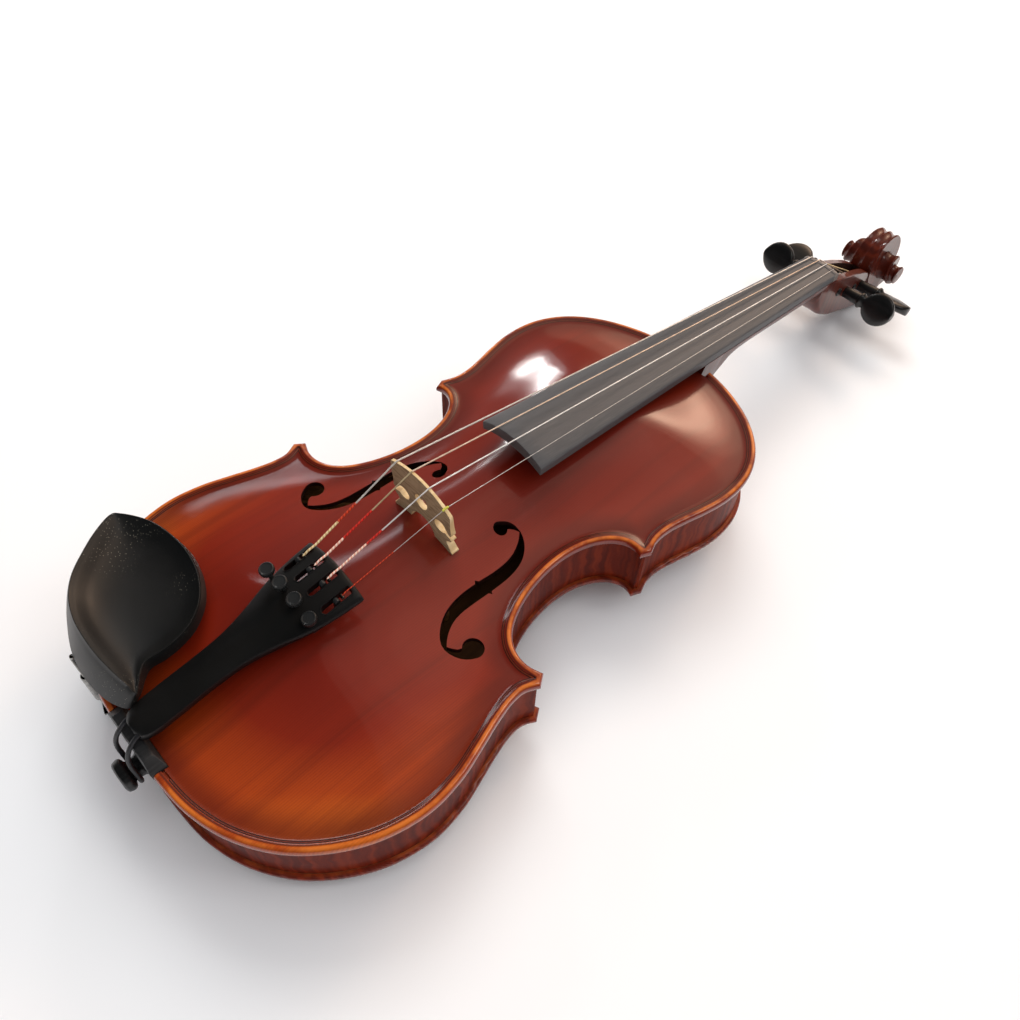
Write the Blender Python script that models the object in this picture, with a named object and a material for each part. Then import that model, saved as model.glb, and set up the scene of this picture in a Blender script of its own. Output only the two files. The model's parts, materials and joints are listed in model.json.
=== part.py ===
"""Full-size violin with its fittings, as an assembly of separate pieces.

Violin frame, in millimetres: x across (treble side +x), y from the tail edge
of the plates (0) to the scroll, z up from the glue line between the ribs and
the top plate.  The empty "violin_frame" tips that frame so that the violin
lies on the crown of its back and on the back of its scroll, at Z = 0.
"""
import bpy
import bmesh
import math
import numpy as np
from mathutils import Vector, Matrix
from mathutils.bvhtree import BVHTree
from mathutils.geometry import delaunay_2d_cdt

MM = 0.001
GAP = 0.3                      # clearance between two pieces that touch

# ---------------------------------------------------------------- dimensions
BODY_LEN = 355.0               # length of the plates
LOWER_W, WAIST_W, UPPER_W = 208.0, 105.2, 164.6
RIB_H = 31.0                   # between the two glue lines
RIB_T = 1.2
OVERHANG = 2.5                 # plate edge past the ribs
EDGE_Z = 4.2                   # height of the edge crest
CHANNEL_Z = 3.2                # bottom of the fluting inside the edge
TOP_CROWN = 15.6               # crown of the top above the glue line
BACK_CROWN = 15.0
TOP_T, BACK_T = 2.8, 3.4       # plate thickness
PURF_OUT, PURF_IN, PURF_D = 3.6, 5.2, 1.8
LINING_T, LINING_H = 2.0, 7.5

STOP = 160.0                   # bridge, from the tail edge
NUT_Y = 485.0
BOARD_END = 215.0              # free end of the fingerboard
BOARD_W0, BOARD_W1 = 42.0, 24.0
BOARD_R = 42.0
BOARD_EDGE = 5.0
BOARD_NUT_Z = 1.6              # crown of the board at the nut
BOARD_SLOPE = 0.1275
NECK_ROOT = 349.0
BUTTON_R, BUTTON_C = 10.5, 357.0

# name, x at bridge, x at nut, height over the board end, radius, x at tailpiece
APEX = 158.95                  # line where the strings cross the bridge
STRINGS = (("g", -17.0, -8.25, 5.5, 0.42, -14.2),
           ("d", -6.0, -2.75, 5.0, 0.38, -4.75),
           ("a", 6.0, 2.75, 4.3, 0.34, 4.75),
           ("e", 17.0, 8.25, 3.5, 0.16, 14.2))
# pegs: string, distance past the nut, depth under the board plane, side, blade angle
PEGS = (("g", 17.0, 14.5, -1, 62.0),
        ("e", 29.3, 19.0, 1, 62.0),
        ("d", 44.0, 22.5, -1, 20.0),
        ("a", 56.0, 25.5, 1, -28.0))
PEG_HEAD_X, PEG_HEAD_R = 36.3, 10.7


# ------------------------------------------------------------------- curves
def resample(P, n, power=1.0):
    """n + 1 points along a polyline, evenly by length."""
    P = np.asarray(P, float)
    s = np.r_[0, np.cumsum(np.linalg.norm(np.diff(P, axis=0), axis=1))]
    t = np.linspace(0, 1, n + 1) ** power * s[-1]
    return np.stack([np.interp(t, s, P[:, k]) for k in range(P.shape[1])], 1)


def spline(points, n, before=None, after=None, sub=24):
    """Centripetal Catmull-Rom curve through the points."""
    P = [np.array(p, float) for p in points]
    P.insert(0, np.array(before, float) if before is not None else 2 * P[0] - P[1])
    P.append(np.array(after, float) if after is not None else 2 * P[-1] - P[-2])
    out = []
    for i in range(1, len(P) - 2):
        p0, p1, p2, p3 = P[i - 1:i + 3]
        t0 = 0.0
        t1 = t0 + np.linalg.norm(p1 - p0) ** 0.5
        t2 = t1 + np.linalg.norm(p2 - p1) ** 0.5
        t3 = t2 + np.linalg.norm(p3 - p2) ** 0.5
        for t in np.linspace(t1, t2, sub, endpoint=False):
            a1 = (t1 - t) / (t1 - t0) * p0 + (t - t0) / (t1 - t0) * p1
            a2 = (t2 - t) / (t2 - t1) * p1 + (t - t1) / (t2 - t1) * p2
            a3 = (t3 - t) / (t3 - t2) * p2 + (t - t2) / (t3 - t2) * p3
            b1 = (t2 - t) / (t2 - t0) * a1 + (t - t0) / (t2 - t0) * a2
            b2 = (t3 - t) / (t3 - t1) * a2 + (t - t1) / (t3 - t1) * a3
            out.append((t2 - t) / (t2 - t1) * b1 + (t - t1) / (t2 - t1) * b2)
    out.append(P[-2])
    return resample(out, n)


# outline of the plates, treble half: width stations of the three bouts
LW, CW, UW = LOWER_W / 2, WAIST_W / 2, UPPER_W / 2
LOWER_TIP, LOWER_TIP2 = (94.0, 146.2), (90.2, 151.6)
UPPER_TIP2, UPPER_TIP = (76.3, 230.0), (78.6, 235.6)
BOUT_L = spline([(0, 0), (20, 0.4), (40, 2.7), (60, 9.7), (78, 22), (91, 37.5), (100, 55.5), (LW, 76),
                 (102.2, 94), (97.8, 109), (93.6, 122), (91.2, 132), (91.0, 139.5), LOWER_TIP], 400, before=(-20, 0.4))
BOUT_C = spline([LOWER_TIP2, (84.0, 149.3), (77.5, 149.2), (71, 151.5), (65, 156.6), (59.6, 165.5), (55.4, 177),
                 (53.0, 189.5), (CW, 201.5), (54.3, 212.5), (57.6, 221), (62.3, 227.3), (67.5, 230.6),
                 (72.2, 231.2), UPPER_TIP2], 300)
BOUT_U = spline([UPPER_TIP, (75.9, 243), (75.6, 252), (77.6, 263), (80.4, 275), (UW, 288), (82.0, 300), (79.6, 311),
                 (74.6, 321.5), (67, 331), (55.5, 340.2), (41, 347.6), (26, 352.4), (12, 354.6), (0, BODY_LEN)],
                400, after=(-12, 354.6))
# the same outline with the corners faired away: the foot line of the arching
FAIR = spline([(0, 0), (40, 2.7), (78, 22), (100, 55.5), (LW, 78), (98, 104), (84, 128), (68, 151), (57, 175),
               (52.8, 200), (57.5, 221), (68, 243), (78.6, 267), (UW, 290), (79.6, 311), (67, 331), (41, 347.6),
               (0, BODY_LEN)], 260, before=(-40, 2.7), after=(-41, 347.6))


def fractions(P, tol):
    """Places along a curve, by length, where straight chords stay within tol."""
    s = np.r_[0, np.cumsum(np.linalg.norm(np.diff(P, axis=0), axis=1))]
    keep = {0, len(P) - 1}
    ends = [0, len(P) - 1] + [int(P[:, 0].argmax())]

    def split(a, b):
        if b - a < 2:
            return
        c = (P[b] - P[a]) / (np.linalg.norm(P[b] - P[a]) + 1e-12)
        w = P[a + 1:b] - P[a]
        h = np.abs(w[:, 0] * c[1] - w[:, 1] * c[0])
        k = int(h.argmax())
        if h[k] > tol:
            m = a + 1 + k
            keep.add(m)
            split(a, m)
            split(m, b)
    ends = sorted(set(ends))
    keep |= set(ends)
    for a, b in zip(ends, ends[1:]):
        split(a, b)
    return s[sorted(keep)] / s[-1]


def at(P, fr):
    """Points of a curve at given fractions of its length."""
    s = np.r_[0, np.cumsum(np.linalg.norm(np.diff(P, axis=0), axis=1))]
    return np.stack([np.interp(fr * s[-1], s, P[:, k]) for k in range(P.shape[1])], 1)


CHORD = 0.4
FL, FC, FU = fractions(BOUT_L, CHORD), fractions(BOUT_C, CHORD), fractions(BOUT_U, CHORD)
print("outline points", len(FL), len(FC), len(FU))


def inward(P, d):
    T = np.gradient(P, axis=0)
    T /= np.linalg.norm(T, axis=1)[:, None]
    return P + d * np.stack([-T[:, 1], T[:, 0]], 1)


def cross(a, b, ta=None):
    """First crossing of two polylines: index and fraction on each."""
    for i in range(len(a) - 1):
        p, r = a[i], a[i + 1] - a[i]
        q, s = b[:-1], b[1:] - b[:-1]
        den = r[0] * s[:, 1] - r[1] * s[:, 0]
        den = np.where(np.abs(den) < 1e-12, 1e-12, den)
        w = q - p
        t = (w[:, 0] * s[:, 1] - w[:, 1] * s[:, 0]) / den
        u = (w[:, 0] * r[1] - w[:, 1] * r[0]) / den
        k = np.nonzero((t >= 0) & (t <= 1) & (u >= 0) & (u <= 1))[0]
        if len(k):
            return i, k[0], p + t[k[0]] * r
    return None


def extend(P, e0=0.0, e1=0.0):
    out = [P]
    if e0:
        out.insert(0, (P[0] + (P[0] - P[2]) / np.linalg.norm(P[0] - P[2]) * e0)[None])
    if e1:
        out.append((P[-1] + (P[-1] - P[-3]) / np.linalg.norm(P[-1] - P[-3]) * e1)[None])
    return np.concatenate(out)


def offset_bouts(d, face=None):
    """The three bout curves moved in by d, trimmed where they mitre at a corner."""
    if d == 0:
        return BOUT_L, BOUT_C, BOUT_U
    face = d if face is None else face
    L, C, U = inward(BOUT_L, d), inward(BOUT_C, d), inward(BOUT_U, d)
    L[:, 0] = np.where(BOUT_L[:, 0] < 0.02, 0, L[:, 0])
    U[:, 0] = np.where(BOUT_U[:, 0] < 0.02, 0, U[:, 0])
    L, C, U = extend(L, 0, 14), extend(C, 14, 14), extend(U, 14, 0)

    def corner(A, B, f0, f1):
        f0, f1 = np.array(f0), np.array(f1)
        t = (f1 - f0) / np.linalg.norm(f1 - f0)
        n = np.array([-t[1], t[0]])
        F = np.array([f0 + n * face - t * 40, f1 + n * face + t * 40])
        ia, ib, im = cross(A[-60:], F), cross(F, B[:60]), cross(A[-60:], B[:60])
        if ia and ib and np.dot(ib[2] - ia[2], t) > 0.02:
            pa, pb = ia[2], ib[2]
            ka, kb = len(A) - 60 + ia[0] + 1, ib[1] + 1
        else:
            pa = pb = im[2]
            ka, kb = len(A) - 60 + im[0] + 1, im[1] + 1
        return np.vstack([A[:ka], pa]), np.vstack([pb, B[kb:]])
    L, C = corner(L, C, LOWER_TIP, LOWER_TIP2)
    C, U = corner(C, U, UPPER_TIP2, UPPER_TIP)
    return L, C, U


def loop(d, face=None):
    """Closed outline at distance d inside the edge, counterclockwise."""
    L, C, U = offset_bouts(d, face)
    half = np.vstack([at(L, FL), at(C, FC), at(U, FU)])
    other = half[1:-1][::-1] * [-1, 1]
    P = np.vstack([half, other])
    keep = [0]
    for i in range(1, len(P)):
        if np.linalg.norm(P[i] - P[keep[-1]]) > 0.05:
            keep.append(i)
    return P[keep]


def inside(P, poly):
    """Which points lie inside a closed polygon."""
    P, poly = np.atleast_2d(P), np.asarray(poly)
    x, y = P[:, 0][:, None], P[:, 1][:, None]
    a, b = poly, np.roll(poly, -1, 0)
    c = ((a[:, 1] > y) != (b[:, 1] > y)) & (x < (b[:, 0] - a[:, 0]) * (y - a[:, 1]) / (b[:, 1] - a[:, 1] + 1e-15) + a[:, 0])
    return (c.sum(1) % 2) == 1


def dist(P, poly):
    """Distance from points to a closed polygon's edge."""
    P, a = np.atleast_2d(P), np.asarray(poly)
    b = np.roll(a, -1, 0)
    out = np.full(len(P), 1e9)
    ab = b - a
    l2 = (ab ** 2).sum(1) + 1e-12
    for k in range(0, len(P), 2000):
        q = P[k:k + 2000][:, None, :] - a[None]
        t = np.clip((q * ab).sum(2) / l2, 0, 1)
        out[k:k + 2000] = np.sqrt(((q - t[..., None] * ab) ** 2).sum(2)).min(1)
    return out


# ------------------------------------------------------------------ arching
FAIR_LOOP = np.vstack([FAIR, FAIR[1:-1][::-1] * [-1, 1]])
EDGE_LOOP = np.vstack([BOUT_L[::8], BOUT_C[::6], BOUT_U[::8], (BOUT_U[8::8] * [-1, 1])[::-1][1:],
                       (BOUT_C[::6] * [-1, 1])[::-1], (BOUT_L[8::8] * [-1, 1])[::-1]])
ARCH_Y = [-40, 75, 130, 160, 200, 225, 260, 290, 400]
ARCH_W = [90, 90, 66, 50, 46.5, 49, 61, 70, 72]


def arch(P, crown):
    """Height of the arching over the channel: a cosine rise from the fluting
    to the crown, as wide as the bout it crosses."""
    d = np.where(inside(P, FAIR_LOOP), dist(P, FAIR_LOOP), 0.0)
    w = np.interp(P[:, 1], ARCH_Y, ARCH_W)
    s = 1 - np.clip((d - 6.0) / w, 0, 1)
    return (crown - CHANNEL_Z) * 0.5 * (1 + np.cos(math.pi * s))


def outer_z(P, crown):
    """Outside surface of a plate: rounded edge, crest, fluting, arching."""
    P = np.atleast_2d(P)
    e = dist(P, EDGE_LOOP)
    edge = np.where(e < 1.8, 3.0 + 1.2 * np.sqrt(np.clip(1 - (1 - e / 1.8) ** 2, 0, 1)),
                    CHANNEL_Z + (EDGE_Z - CHANNEL_Z) * 0.5 * (1 + np.cos(math.pi * np.clip((e - 1.8) / 5.2, 0, 1))))
    return edge + arch(P, crown)


def inner_z(P, crown, t):
    P = np.atleast_2d(P)
    e = dist(P, EDGE_LOOP)
    z = np.maximum(0.0, CHANNEL_Z + arch(P, crown) - t)
    z = np.where(e < 8.0, 0.0, z)
    return z + np.where(e < 1.5, 1.0 * (1 - e / 1.5), 0.0)


def f_hole(n):
    """Treble f-hole: two eyes joined by a swept stem, nicks at the bridge line."""
    up_eye, up_r, lo_eye, lo_r = np.array((23.0, 187.2)), 3.5, np.array((60.8, 136.4)), 5.1
    arc = lambda c, r, a0, a1, k: [c + r * np.array((math.cos(a), math.sin(a)))
                                   for a in np.radians(np.linspace(a0, a1, k))]
    q = max(1, n // 12)
    out = []
    out += list(spline([(29.6, 194.6), (33, 193.4), (36.6, 190.8), (40.0, 186.6), (42.3, 181.5), (43.7, 175),
                        (44.2, 168), (44.3, 162.4)], 4 * q))
    out += [np.array((45.7, 161.6)), np.array((44.3, 160.4))]
    out += list(spline([(44.3, 160.2), (44.3, 150), (44.5, 144.5), (45.6, 138.5), (48.0, 133.3), (50.6, 129.8),
                        (53.2, 127.3)], 3 * q))[1:]
    out += list(spline([(53.2, 127.3), (55.8, 129.2), (58.2, 131.8)], q))[1:-1]
    out += arc(lo_eye, lo_r, 232, -38, 4 * q)
    out += list(spline([(64.6, 132.6), (62.2, 129.3), (58.4, 126.8), (54.5, 125.6), (51.2, 125.9), (47.6, 128.0),
                        (43.6, 132.1), (40.2, 137.9), (38.3, 144), (37.4, 151), (37.3, 158.2)], 5 * q))
    out += [np.array((35.9, 159.4)), np.array((37.3, 160.6))]
    out += list(spline([(37.3, 160.8), (37.6, 170), (37.1, 178), (35.9, 183.4), (34.2, 187.4), (31.9, 191.2),
                        (29.4, 194.0)], 3 * q))[1:]
    out += list(spline([(29.4, 194.0), (27.2, 192.6), (25.2, 190.2)], q))[1:-1]
    out += arc(up_eye, up_r, 52, -215, 4 * q)
    out += list(spline([(20.4, 189.7), (22.2, 192.3), (25.2, 194.2), (29.6, 194.6)], 2 * q))[1:-1]
    P = []
    for p in out:
        if not P or np.linalg.norm(p - P[-1]) > 0.25:
            P.append(p)
    return np.array(P)


# ------------------------------------------------------------ board, strings
def board_hw(y):
    return BOARD_W1 / 2 + (BOARD_W0 - BOARD_W1) / 2 * (NUT_Y - y) / (NUT_Y - BOARD_END)


def board_crown(y):
    return BOARD_NUT_Z + BOARD_SLOPE * (NUT_Y - y)


def sag(x):
    return BOARD_R - math.sqrt(BOARD_R ** 2 - x * x)


def glue_z(y):
    """Top of the neck, where the fingerboard is glued."""
    return board_crown(y) - sag(board_hw(y)) - BOARD_EDGE


GLUE_NUT = glue_z(NUT_Y)
ALPHA = math.atan((glue_z(355) - GLUE_NUT) / (NUT_Y - 355))


def head(u, x, w):
    """Point in the head's own frame: u past the nut, w under the board plane."""
    return (x, NUT_Y + u * math.cos(ALPHA) - w * math.sin(ALPHA), GLUE_NUT - u * math.sin(ALPHA) - w * math.cos(ALPHA))


def nut_top(x):
    return board_crown(NUT_Y + 2) - sag(x) + 0.45


def string_line(s):
    """Centre of a string over the nut and over the bridge."""
    name, xb, xn, h, r, xt = s
    zn = nut_top(xn) + 0.15 + r
    x = xn + (xb - xn) * (NUT_Y + 2 - BOARD_END) / (NUT_Y + 2 - APEX)
    z = board_crown(BOARD_END) - sag(x) + h + r
    return zn, zn + (z - zn) * (NUT_Y + 2 - APEX) / (NUT_Y + 2 - BOARD_END)


# ------------------------------------------------------------- mesh building
for ob in list(bpy.data.objects):
    bpy.data.objects.remove(ob, do_unlink=True)

FRAME = bpy.data.objects.new("violin_frame", None)
bpy.context.scene.collection.objects.link(FRAME)
MATERIALS = {}


def material(name, rgb, rough, metal=0.0):
    if name not in MATERIALS:
        m = bpy.data.materials.new(name)
        m.use_nodes = True
        b = m.node_tree.nodes["Principled BSDF"]
        b.inputs["Base Color"].default_value = (*rgb, 1)
        b.inputs["Roughness"].default_value = rough
        b.inputs["Metallic"].default_value = metal
        MATERIALS[name] = m
    return MATERIALS[name]


VARNISH = ("varnished_top", (0.30, 0.045, 0.015), 0.18)
VARNISH_DARK = ("varnished_maple", (0.17, 0.022, 0.010), 0.2)
RAW = ("raw_wood", (0.62, 0.42, 0.22), 0.6)
MAPLE = ("bridge_maple", (0.60, 0.48, 0.34), 0.55)
EBONY = ("ebony", (0.012, 0.011, 0.011), 0.35)
COMPOSITE = ("black_composite", (0.015, 0.016, 0.016), 0.35)
STEEL = ("string_steel", (0.62, 0.60, 0.57), 0.3, 1.0)
NICKEL = ("nickel_plate", (0.55, 0.53, 0.50), 0.25, 1.0)
BONE = ("nut_bone", (0.62, 0.58, 0.50), 0.4)
CORK = ("cork", (0.42, 0.26, 0.13), 0.85)
DYED = ("dyed_fibre", (0.02, 0.015, 0.012), 0.5)
SLEEVE = ("sleeve_plastic", (0.50, 0.52, 0.10), 0.4)


def put(name, verts, faces, mat, origin=(0, 0, 0), sharp=35.0, cutter=False):
    """Make one object from millimetre vertices in the violin frame."""
    o = np.array(origin, float)
    me = bpy.data.meshes.new(name)
    V = (np.asarray(verts, float) - o) * MM
    me.from_pydata([tuple(v) for v in V], [], [tuple(int(i) for i in f) for f in faces])
    bm = bmesh.new()
    bm.from_mesh(me)
    bmesh.ops.remove_doubles(bm, verts=bm.verts, dist=2e-6)
    bmesh.ops.recalc_face_normals(bm, faces=bm.faces)
    if bm.calc_volume(signed=True) < 0:
        bmesh.ops.reverse_faces(bm, faces=bm.faces)
    bm.to_mesh(me)
    bm.free()
    me.shade_smooth()
    me.set_sharp_from_angle(angle=math.radians(sharp))
    ob = bpy.data.objects.new(name, me)
    bpy.context.scene.collection.objects.link(ob)
    ob.parent = FRAME
    ob.location = Vector(o * MM)
    if cutter:
        ob.hide_render = True
        ob.display_type = 'WIRE'
    else:
        me.materials.append(material(*mat))
    return ob


def boolean(ob, cutter, op='DIFFERENCE'):
    m = ob.modifiers.new(cutter.name, 'BOOLEAN')
    m.operation = op
    m.object = cutter
    m.solver = 'EXACT'
    return m


def loft(rings, cap0=True, cap1=True):
    """Closed skin through rings of equal count."""
    n = len(rings[0])
    V = np.vstack(rings)
    F = []
    for k in range(len(rings) - 1):
        for i in range(n):
            j = (i + 1) % n
            F.append((k * n + i, k * n + j, (k + 1) * n + j, (k + 1) * n + i))
    if cap0:
        F.append(tuple(range(n))[::-1])
    if cap1:
        F.append(tuple(range((len(rings) - 1) * n, len(rings) * n)))
    return V, F


def lathe(profile, n, centre, axis):
    """Turned piece: profile of (distance along axis, radius), closed at both ends."""
    c, a = np.array(centre, float), np.array(axis, float)
    a /= np.linalg.norm(a)
    h = np.array((0, 0, 1.0)) if abs(a[2]) < 0.9 else np.array((1.0, 0, 0))
    e1 = np.cross(a, h)
    e1 /= np.linalg.norm(e1)
    e2 = np.cross(a, e1)
    rings = []
    for s, r in profile:
        rings.append([c + a * s + r * (math.cos(t) * e1 + math.sin(t) * e2)
                      for t in np.arange(n) * 2 * math.pi / n])
    return loft(np.array(rings))


def triangulate(pts, edges):
    out = delaunay_2d_cdt([Vector(p) for p in pts], edges, [], 0, 1e-6)
    V = np.array([tuple(v) for v in out[0]])
    return V, [tuple(f) for f in out[2]]


def closed_edges(start, n):
    return [(start + i, start + (i + 1) % n) for i in range(n)]


def slab(outer, holes, zt, zb, extra=()):
    """Plate-like solid: region with holes between a top and a bottom surface."""
    pts, edges = [], []
    for L in [outer] + list(holes):
        edges += closed_edges(len(pts), len(L))
        pts += [tuple(p) for p in L]
    pts += [tuple(p) for p in extra]
    V, T = triangulate(pts, edges)
    C = np.array([V[list(t)].mean(0) for t in T])
    ok = inside(C, outer)
    for h in holes:
        ok &= ~inside(C, h)
    T = [t for t, k in zip(T, ok) if k]
    n = len(V)
    top = np.c_[V, zt(V)]
    bot = np.c_[V, zb(V)]
    F = [t for t in T] + [(a + n, c + n, b + n) for a, b, c in T]
    es = set()
    for t in T:
        for k in range(3):
            es.add((t[k], t[(k + 1) % 3]))
    for a, b in es:
        if (b, a) not in es:
            F.append((b, a, a + n, b + n))
    return np.vstack([top, bot]), F


def strip(outer, inner, z0, z1):
    """Bent strip between two curves of equal count, from z0 to z1."""
    O, I = np.asarray(outer), np.asarray(inner)
    rings = [np.array([(*o, z0), (*i, z0), (*i, z1), (*o, z1)]) for o, i in zip(O, I)]
    return loft(rings)


def stack(polys, zs):
    """Block made of stacked outlines of equal count."""
    return loft([np.c_[np.asarray(p), np.full(len(p), z)] for p, z in zip(polys, zs)])


def box(x0, x1, y0, y1, z0, z1):
    P = [(x0, y0), (x1, y0), (x1, y1), (x0, y1)]
    return stack([P, P], [z0, z1])


# ------------------------------------------------------------------- plates
def plate(name, crown, thick, mat, holes, flip, button):
    """Arched plate with a purfling groove all round."""
    L0, L1 = loop(0), loop(1.8, 1.5)
    LA, LB = loop(PURF_OUT - GAP, 2.6), loop(PURF_IN + GAP)
    if button:
        keep = ~((np.abs(L0[:, 0]) < BUTTON_R - 0.2) & (L0[:, 1] > 300))
        k = int(np.nonzero(~keep)[0].min())
        arc = [(BUTTON_R, 354.9)] + [(BUTTON_R * math.cos(a), BUTTON_C + BUTTON_R * math.sin(a))
                                     for a in np.linspace(0, math.pi, 9)] + [(-BUTTON_R, 354.9)]
        near = keep & ~((np.abs(L0[:, 0]) < BUTTON_R + 2.5) & (L0[:, 1] > 300))
        L0 = np.vstack([L0[:k][near[:k]], arc, L0[k:][near[k:]]])
    pts, edges, tag = [], [], []
    for kind, L in (("0", L0), ("1", L1), ("A", LA), ("B", LB)):
        edges += closed_edges(len(pts), len(L))
        pts += [tuple(p) for p in L]
    for h in holes:
        edges += closed_edges(len(pts), len(h))
        pts += [tuple(p) for p in h]
    rim = loop(9.0)
    gx, gy = 15.0, 25.0
    grid = [(x + (0.5 * gx if j % 2 else 0), y) for j, y in enumerate(np.arange(14, 350, gy))
            for x in np.arange(-8 * gx, 8.1 * gx, gx)]
    grid = np.array([g for g in grid] + [tuple(p) for p in rim])
    ok = inside(grid, LB) & (dist(grid, LB) > 2.5)
    gi = np.arange(len(grid)) < len(grid) - len(rim)
    ok &= ~gi | (dist(grid, rim) > 4.0)
    for h in holes:
        ok &= ~inside(grid, h) & (dist(grid, h) > 2.4)
    pts += [tuple(p) for p in grid[ok]]
    V, T = triangulate(pts, edges)
    C = np.array([V[list(t)].mean(0) for t in T])
    ok = inside(C, L0)
    for h in holes:
        ok &= ~inside(C, h)
    groove = inside(C, LA) & ~inside(C, LB)
    n = len(V)
    zt = outer_z(V, crown)
    zb = inner_z(V, crown, thick)
    if button:
        out = V[:, 1] > 356.0
        zt = np.where(out, 3.6, zt)
        zb = np.where((np.abs(V[:, 0]) < BUTTON_R + 1) & (V[:, 1] > 353.5), 0.0, zb)
        zt = np.where((np.abs(V[:, 0]) < BUTTON_R - 0.5) & (V[:, 1] > 353.0) & ~out, 4.1, zt)
    top, bot, floor = np.c_[V, zt], np.c_[V, zb], np.c_[V, zt - PURF_D]
    F, et, used = [], {}, {}
    for t, k, g in zip(T, ok, groove):
        if not k:
            continue
        a, b, c = t
        F.append((a + 2 * n, b + 2 * n, c + 2 * n) if g else (a, b, c))
        F.append((a + n, c + n, b + n))
        for e in ((a, b), (b, c), (c, a)):
            et[e] = g
    for (a, b), g in et.items():
        o = et.get((b, a))
        if o is None:
            F.append((b, a, a + n, b + n))
        elif o and not g:
            F.append((b, a, a + 2 * n, b + 2 * n))
    W = np.vstack([top, bot, floor])
    if flip:
        W = W * [1, 1, -1] - [0, 0, RIB_H]
    idx = sorted({i for f in F for i in f})
    m = {o: i for i, o in enumerate(idx)}
    W, F = W[idx], [tuple(m[i] for i in f) for f in F]
    return put(name, W, F, mat)


F_T = f_hole(12)
F_B = (F_T * [-1, 1])[::-1]
top_plate = plate("top_plate", TOP_CROWN, TOP_T, VARNISH, [F_T, F_B], False, False)
back_plate = plate("back_plate", BACK_CROWN, BACK_T, VARNISH_DARK, [], True, True)


def surface(ob, up):
    """Ray test against a plate: height of its outer or inner face at (x, y)."""
    me = ob.data
    V = [v.co + ob.location for v in me.vertices]
    tree = BVHTree.FromPolygons(V, [tuple(p.vertices) for p in me.polygons])

    def z(x, y, from_above):
        s = Vector((x * MM, y * MM, 0.2 if from_above else -0.2))
        hit = tree.ray_cast(s, Vector((0, 0, -1 if from_above else 1)))
        return None if hit[0] is None else hit[0].z / MM
    return z


TOP_SURF, BACK_SURF = surface(top_plate, True), surface(back_plate, False)


def top_outer(x, y):
    return TOP_SURF(x, y, True)


def top_inner(x, y):
    return TOP_SURF(x, y, False)


def back_inner(x, y):
    return BACK_SURF(x, y, True)


# purfling: inlaid strips that fill the grooves
SW0, SW1 = 18.5, 13.5                   # half lengths of the saddle, foot and top


def purfling(crown, back):
    """Treble half of the strip, ending at the saddle and the neck on the top."""
    o, i = offset_bouts(PURF_OUT, 2.9), offset_bouts(PURF_IN)
    o = np.vstack([at(c, f) for c, f in zip(o, (FL, FC, FU))])
    i = np.vstack([at(c, f) for c, f in zip(i, (FL, FC, FU))])
    if not back:
        for P in (o, i):
            low, high = P[:, 1] < 150, P[:, 1] >= 150
            t = np.interp(SW0 + 0.6, P[low, 0], P[low, 1])
            u = np.interp(18.0, P[high][::-1, 0], P[high][::-1, 1])
            k0, k1 = int(np.nonzero(P[:, 0] > SW0 + 0.6)[0][0]), int(np.nonzero(P[:, 0] > 18.0)[0][-1])
            P[k0 - 1], P[k1 + 1] = (SW0 + 0.6, t), (18.0, u)
        k0, k1 = int(np.nonzero(o[:, 0] > SW0 + 0.6)[0][0]) - 1, int(np.nonzero(o[:, 0] > 18.0)[0][-1]) + 1
        o, i = o[k0:k1 + 1], i[k0:k1 + 1]
    rings = []
    for p, q in zip(o, i):
        zp, zq = outer_z(p, crown)[0], outer_z(q, crown)[0]
        rings.append([(*p, zp - 0.05), (*q, zq - 0.05), (*q, zq - PURF_D + 0.35), (*p, zp - PURF_D + 0.35)])
    return np.array(rings)


R = purfling(TOP_CROWN, False)
for side, s in (("treble", 1), ("bass", -1)):
    V, F = loft(R * [s, 1, 1])
    put("purfling_top_" + side, V, F, DYED)
R = purfling(BACK_CROWN, True) * [1, 1, -1] - [0, 0, RIB_H]
R = np.concatenate([R, (R * [-1, 1, 1])[1:-1][::-1]])
V, F = loft(np.concatenate([R, R[:1]]), False, False)
put("purfling_back", V, F, DYED)

# ------------------------------------------------------- ribs, blocks, linings
ZR0, ZR1 = -RIB_H + 0.2, -0.2
RO = offset_bouts(OVERHANG, 2.0)
RI = offset_bouts(OVERHANG + RIB_T, 2.2)
for label, o, i, fr in (("lower", RO[0], RI[0], FL), ("middle", RO[1], RI[1], FC), ("upper", RO[2], RI[2], FU)):
    o, i = at(o, fr), at(i, fr)
    if label == "lower":
        o[0], i[0] = (0.15, o[0][1]), (0.15, i[0][1])
    if label == "upper":
        o[-1], i[-1] = (0.15, o[-1][1]), (0.15, i[-1][1])
    for side, s in (("treble", 1), ("bass", -1)):
        V, F = strip(o * [s, 1], i * [s, 1], ZR0, ZR1)
        put("rib_%s_%s" % (label, side), V, F, VARNISH_DARK)

D0 = OVERHANG + RIB_T + 0.25            # inner face of the ribs, with its glue gap
BO = offset_bouts(D0, 2.5)
BI = offset_bouts(D0 + LINING_T + 0.6)


def stretch(P, q, before, after):
    """Stretch of a curve around its end at q, by length."""
    s = np.r_[0, np.cumsum(np.linalg.norm(np.diff(P, axis=0), axis=1))]
    if q == "end":
        k = s >= s[-1] - before
    else:
        k = s <= after
    return P[k]


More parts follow.
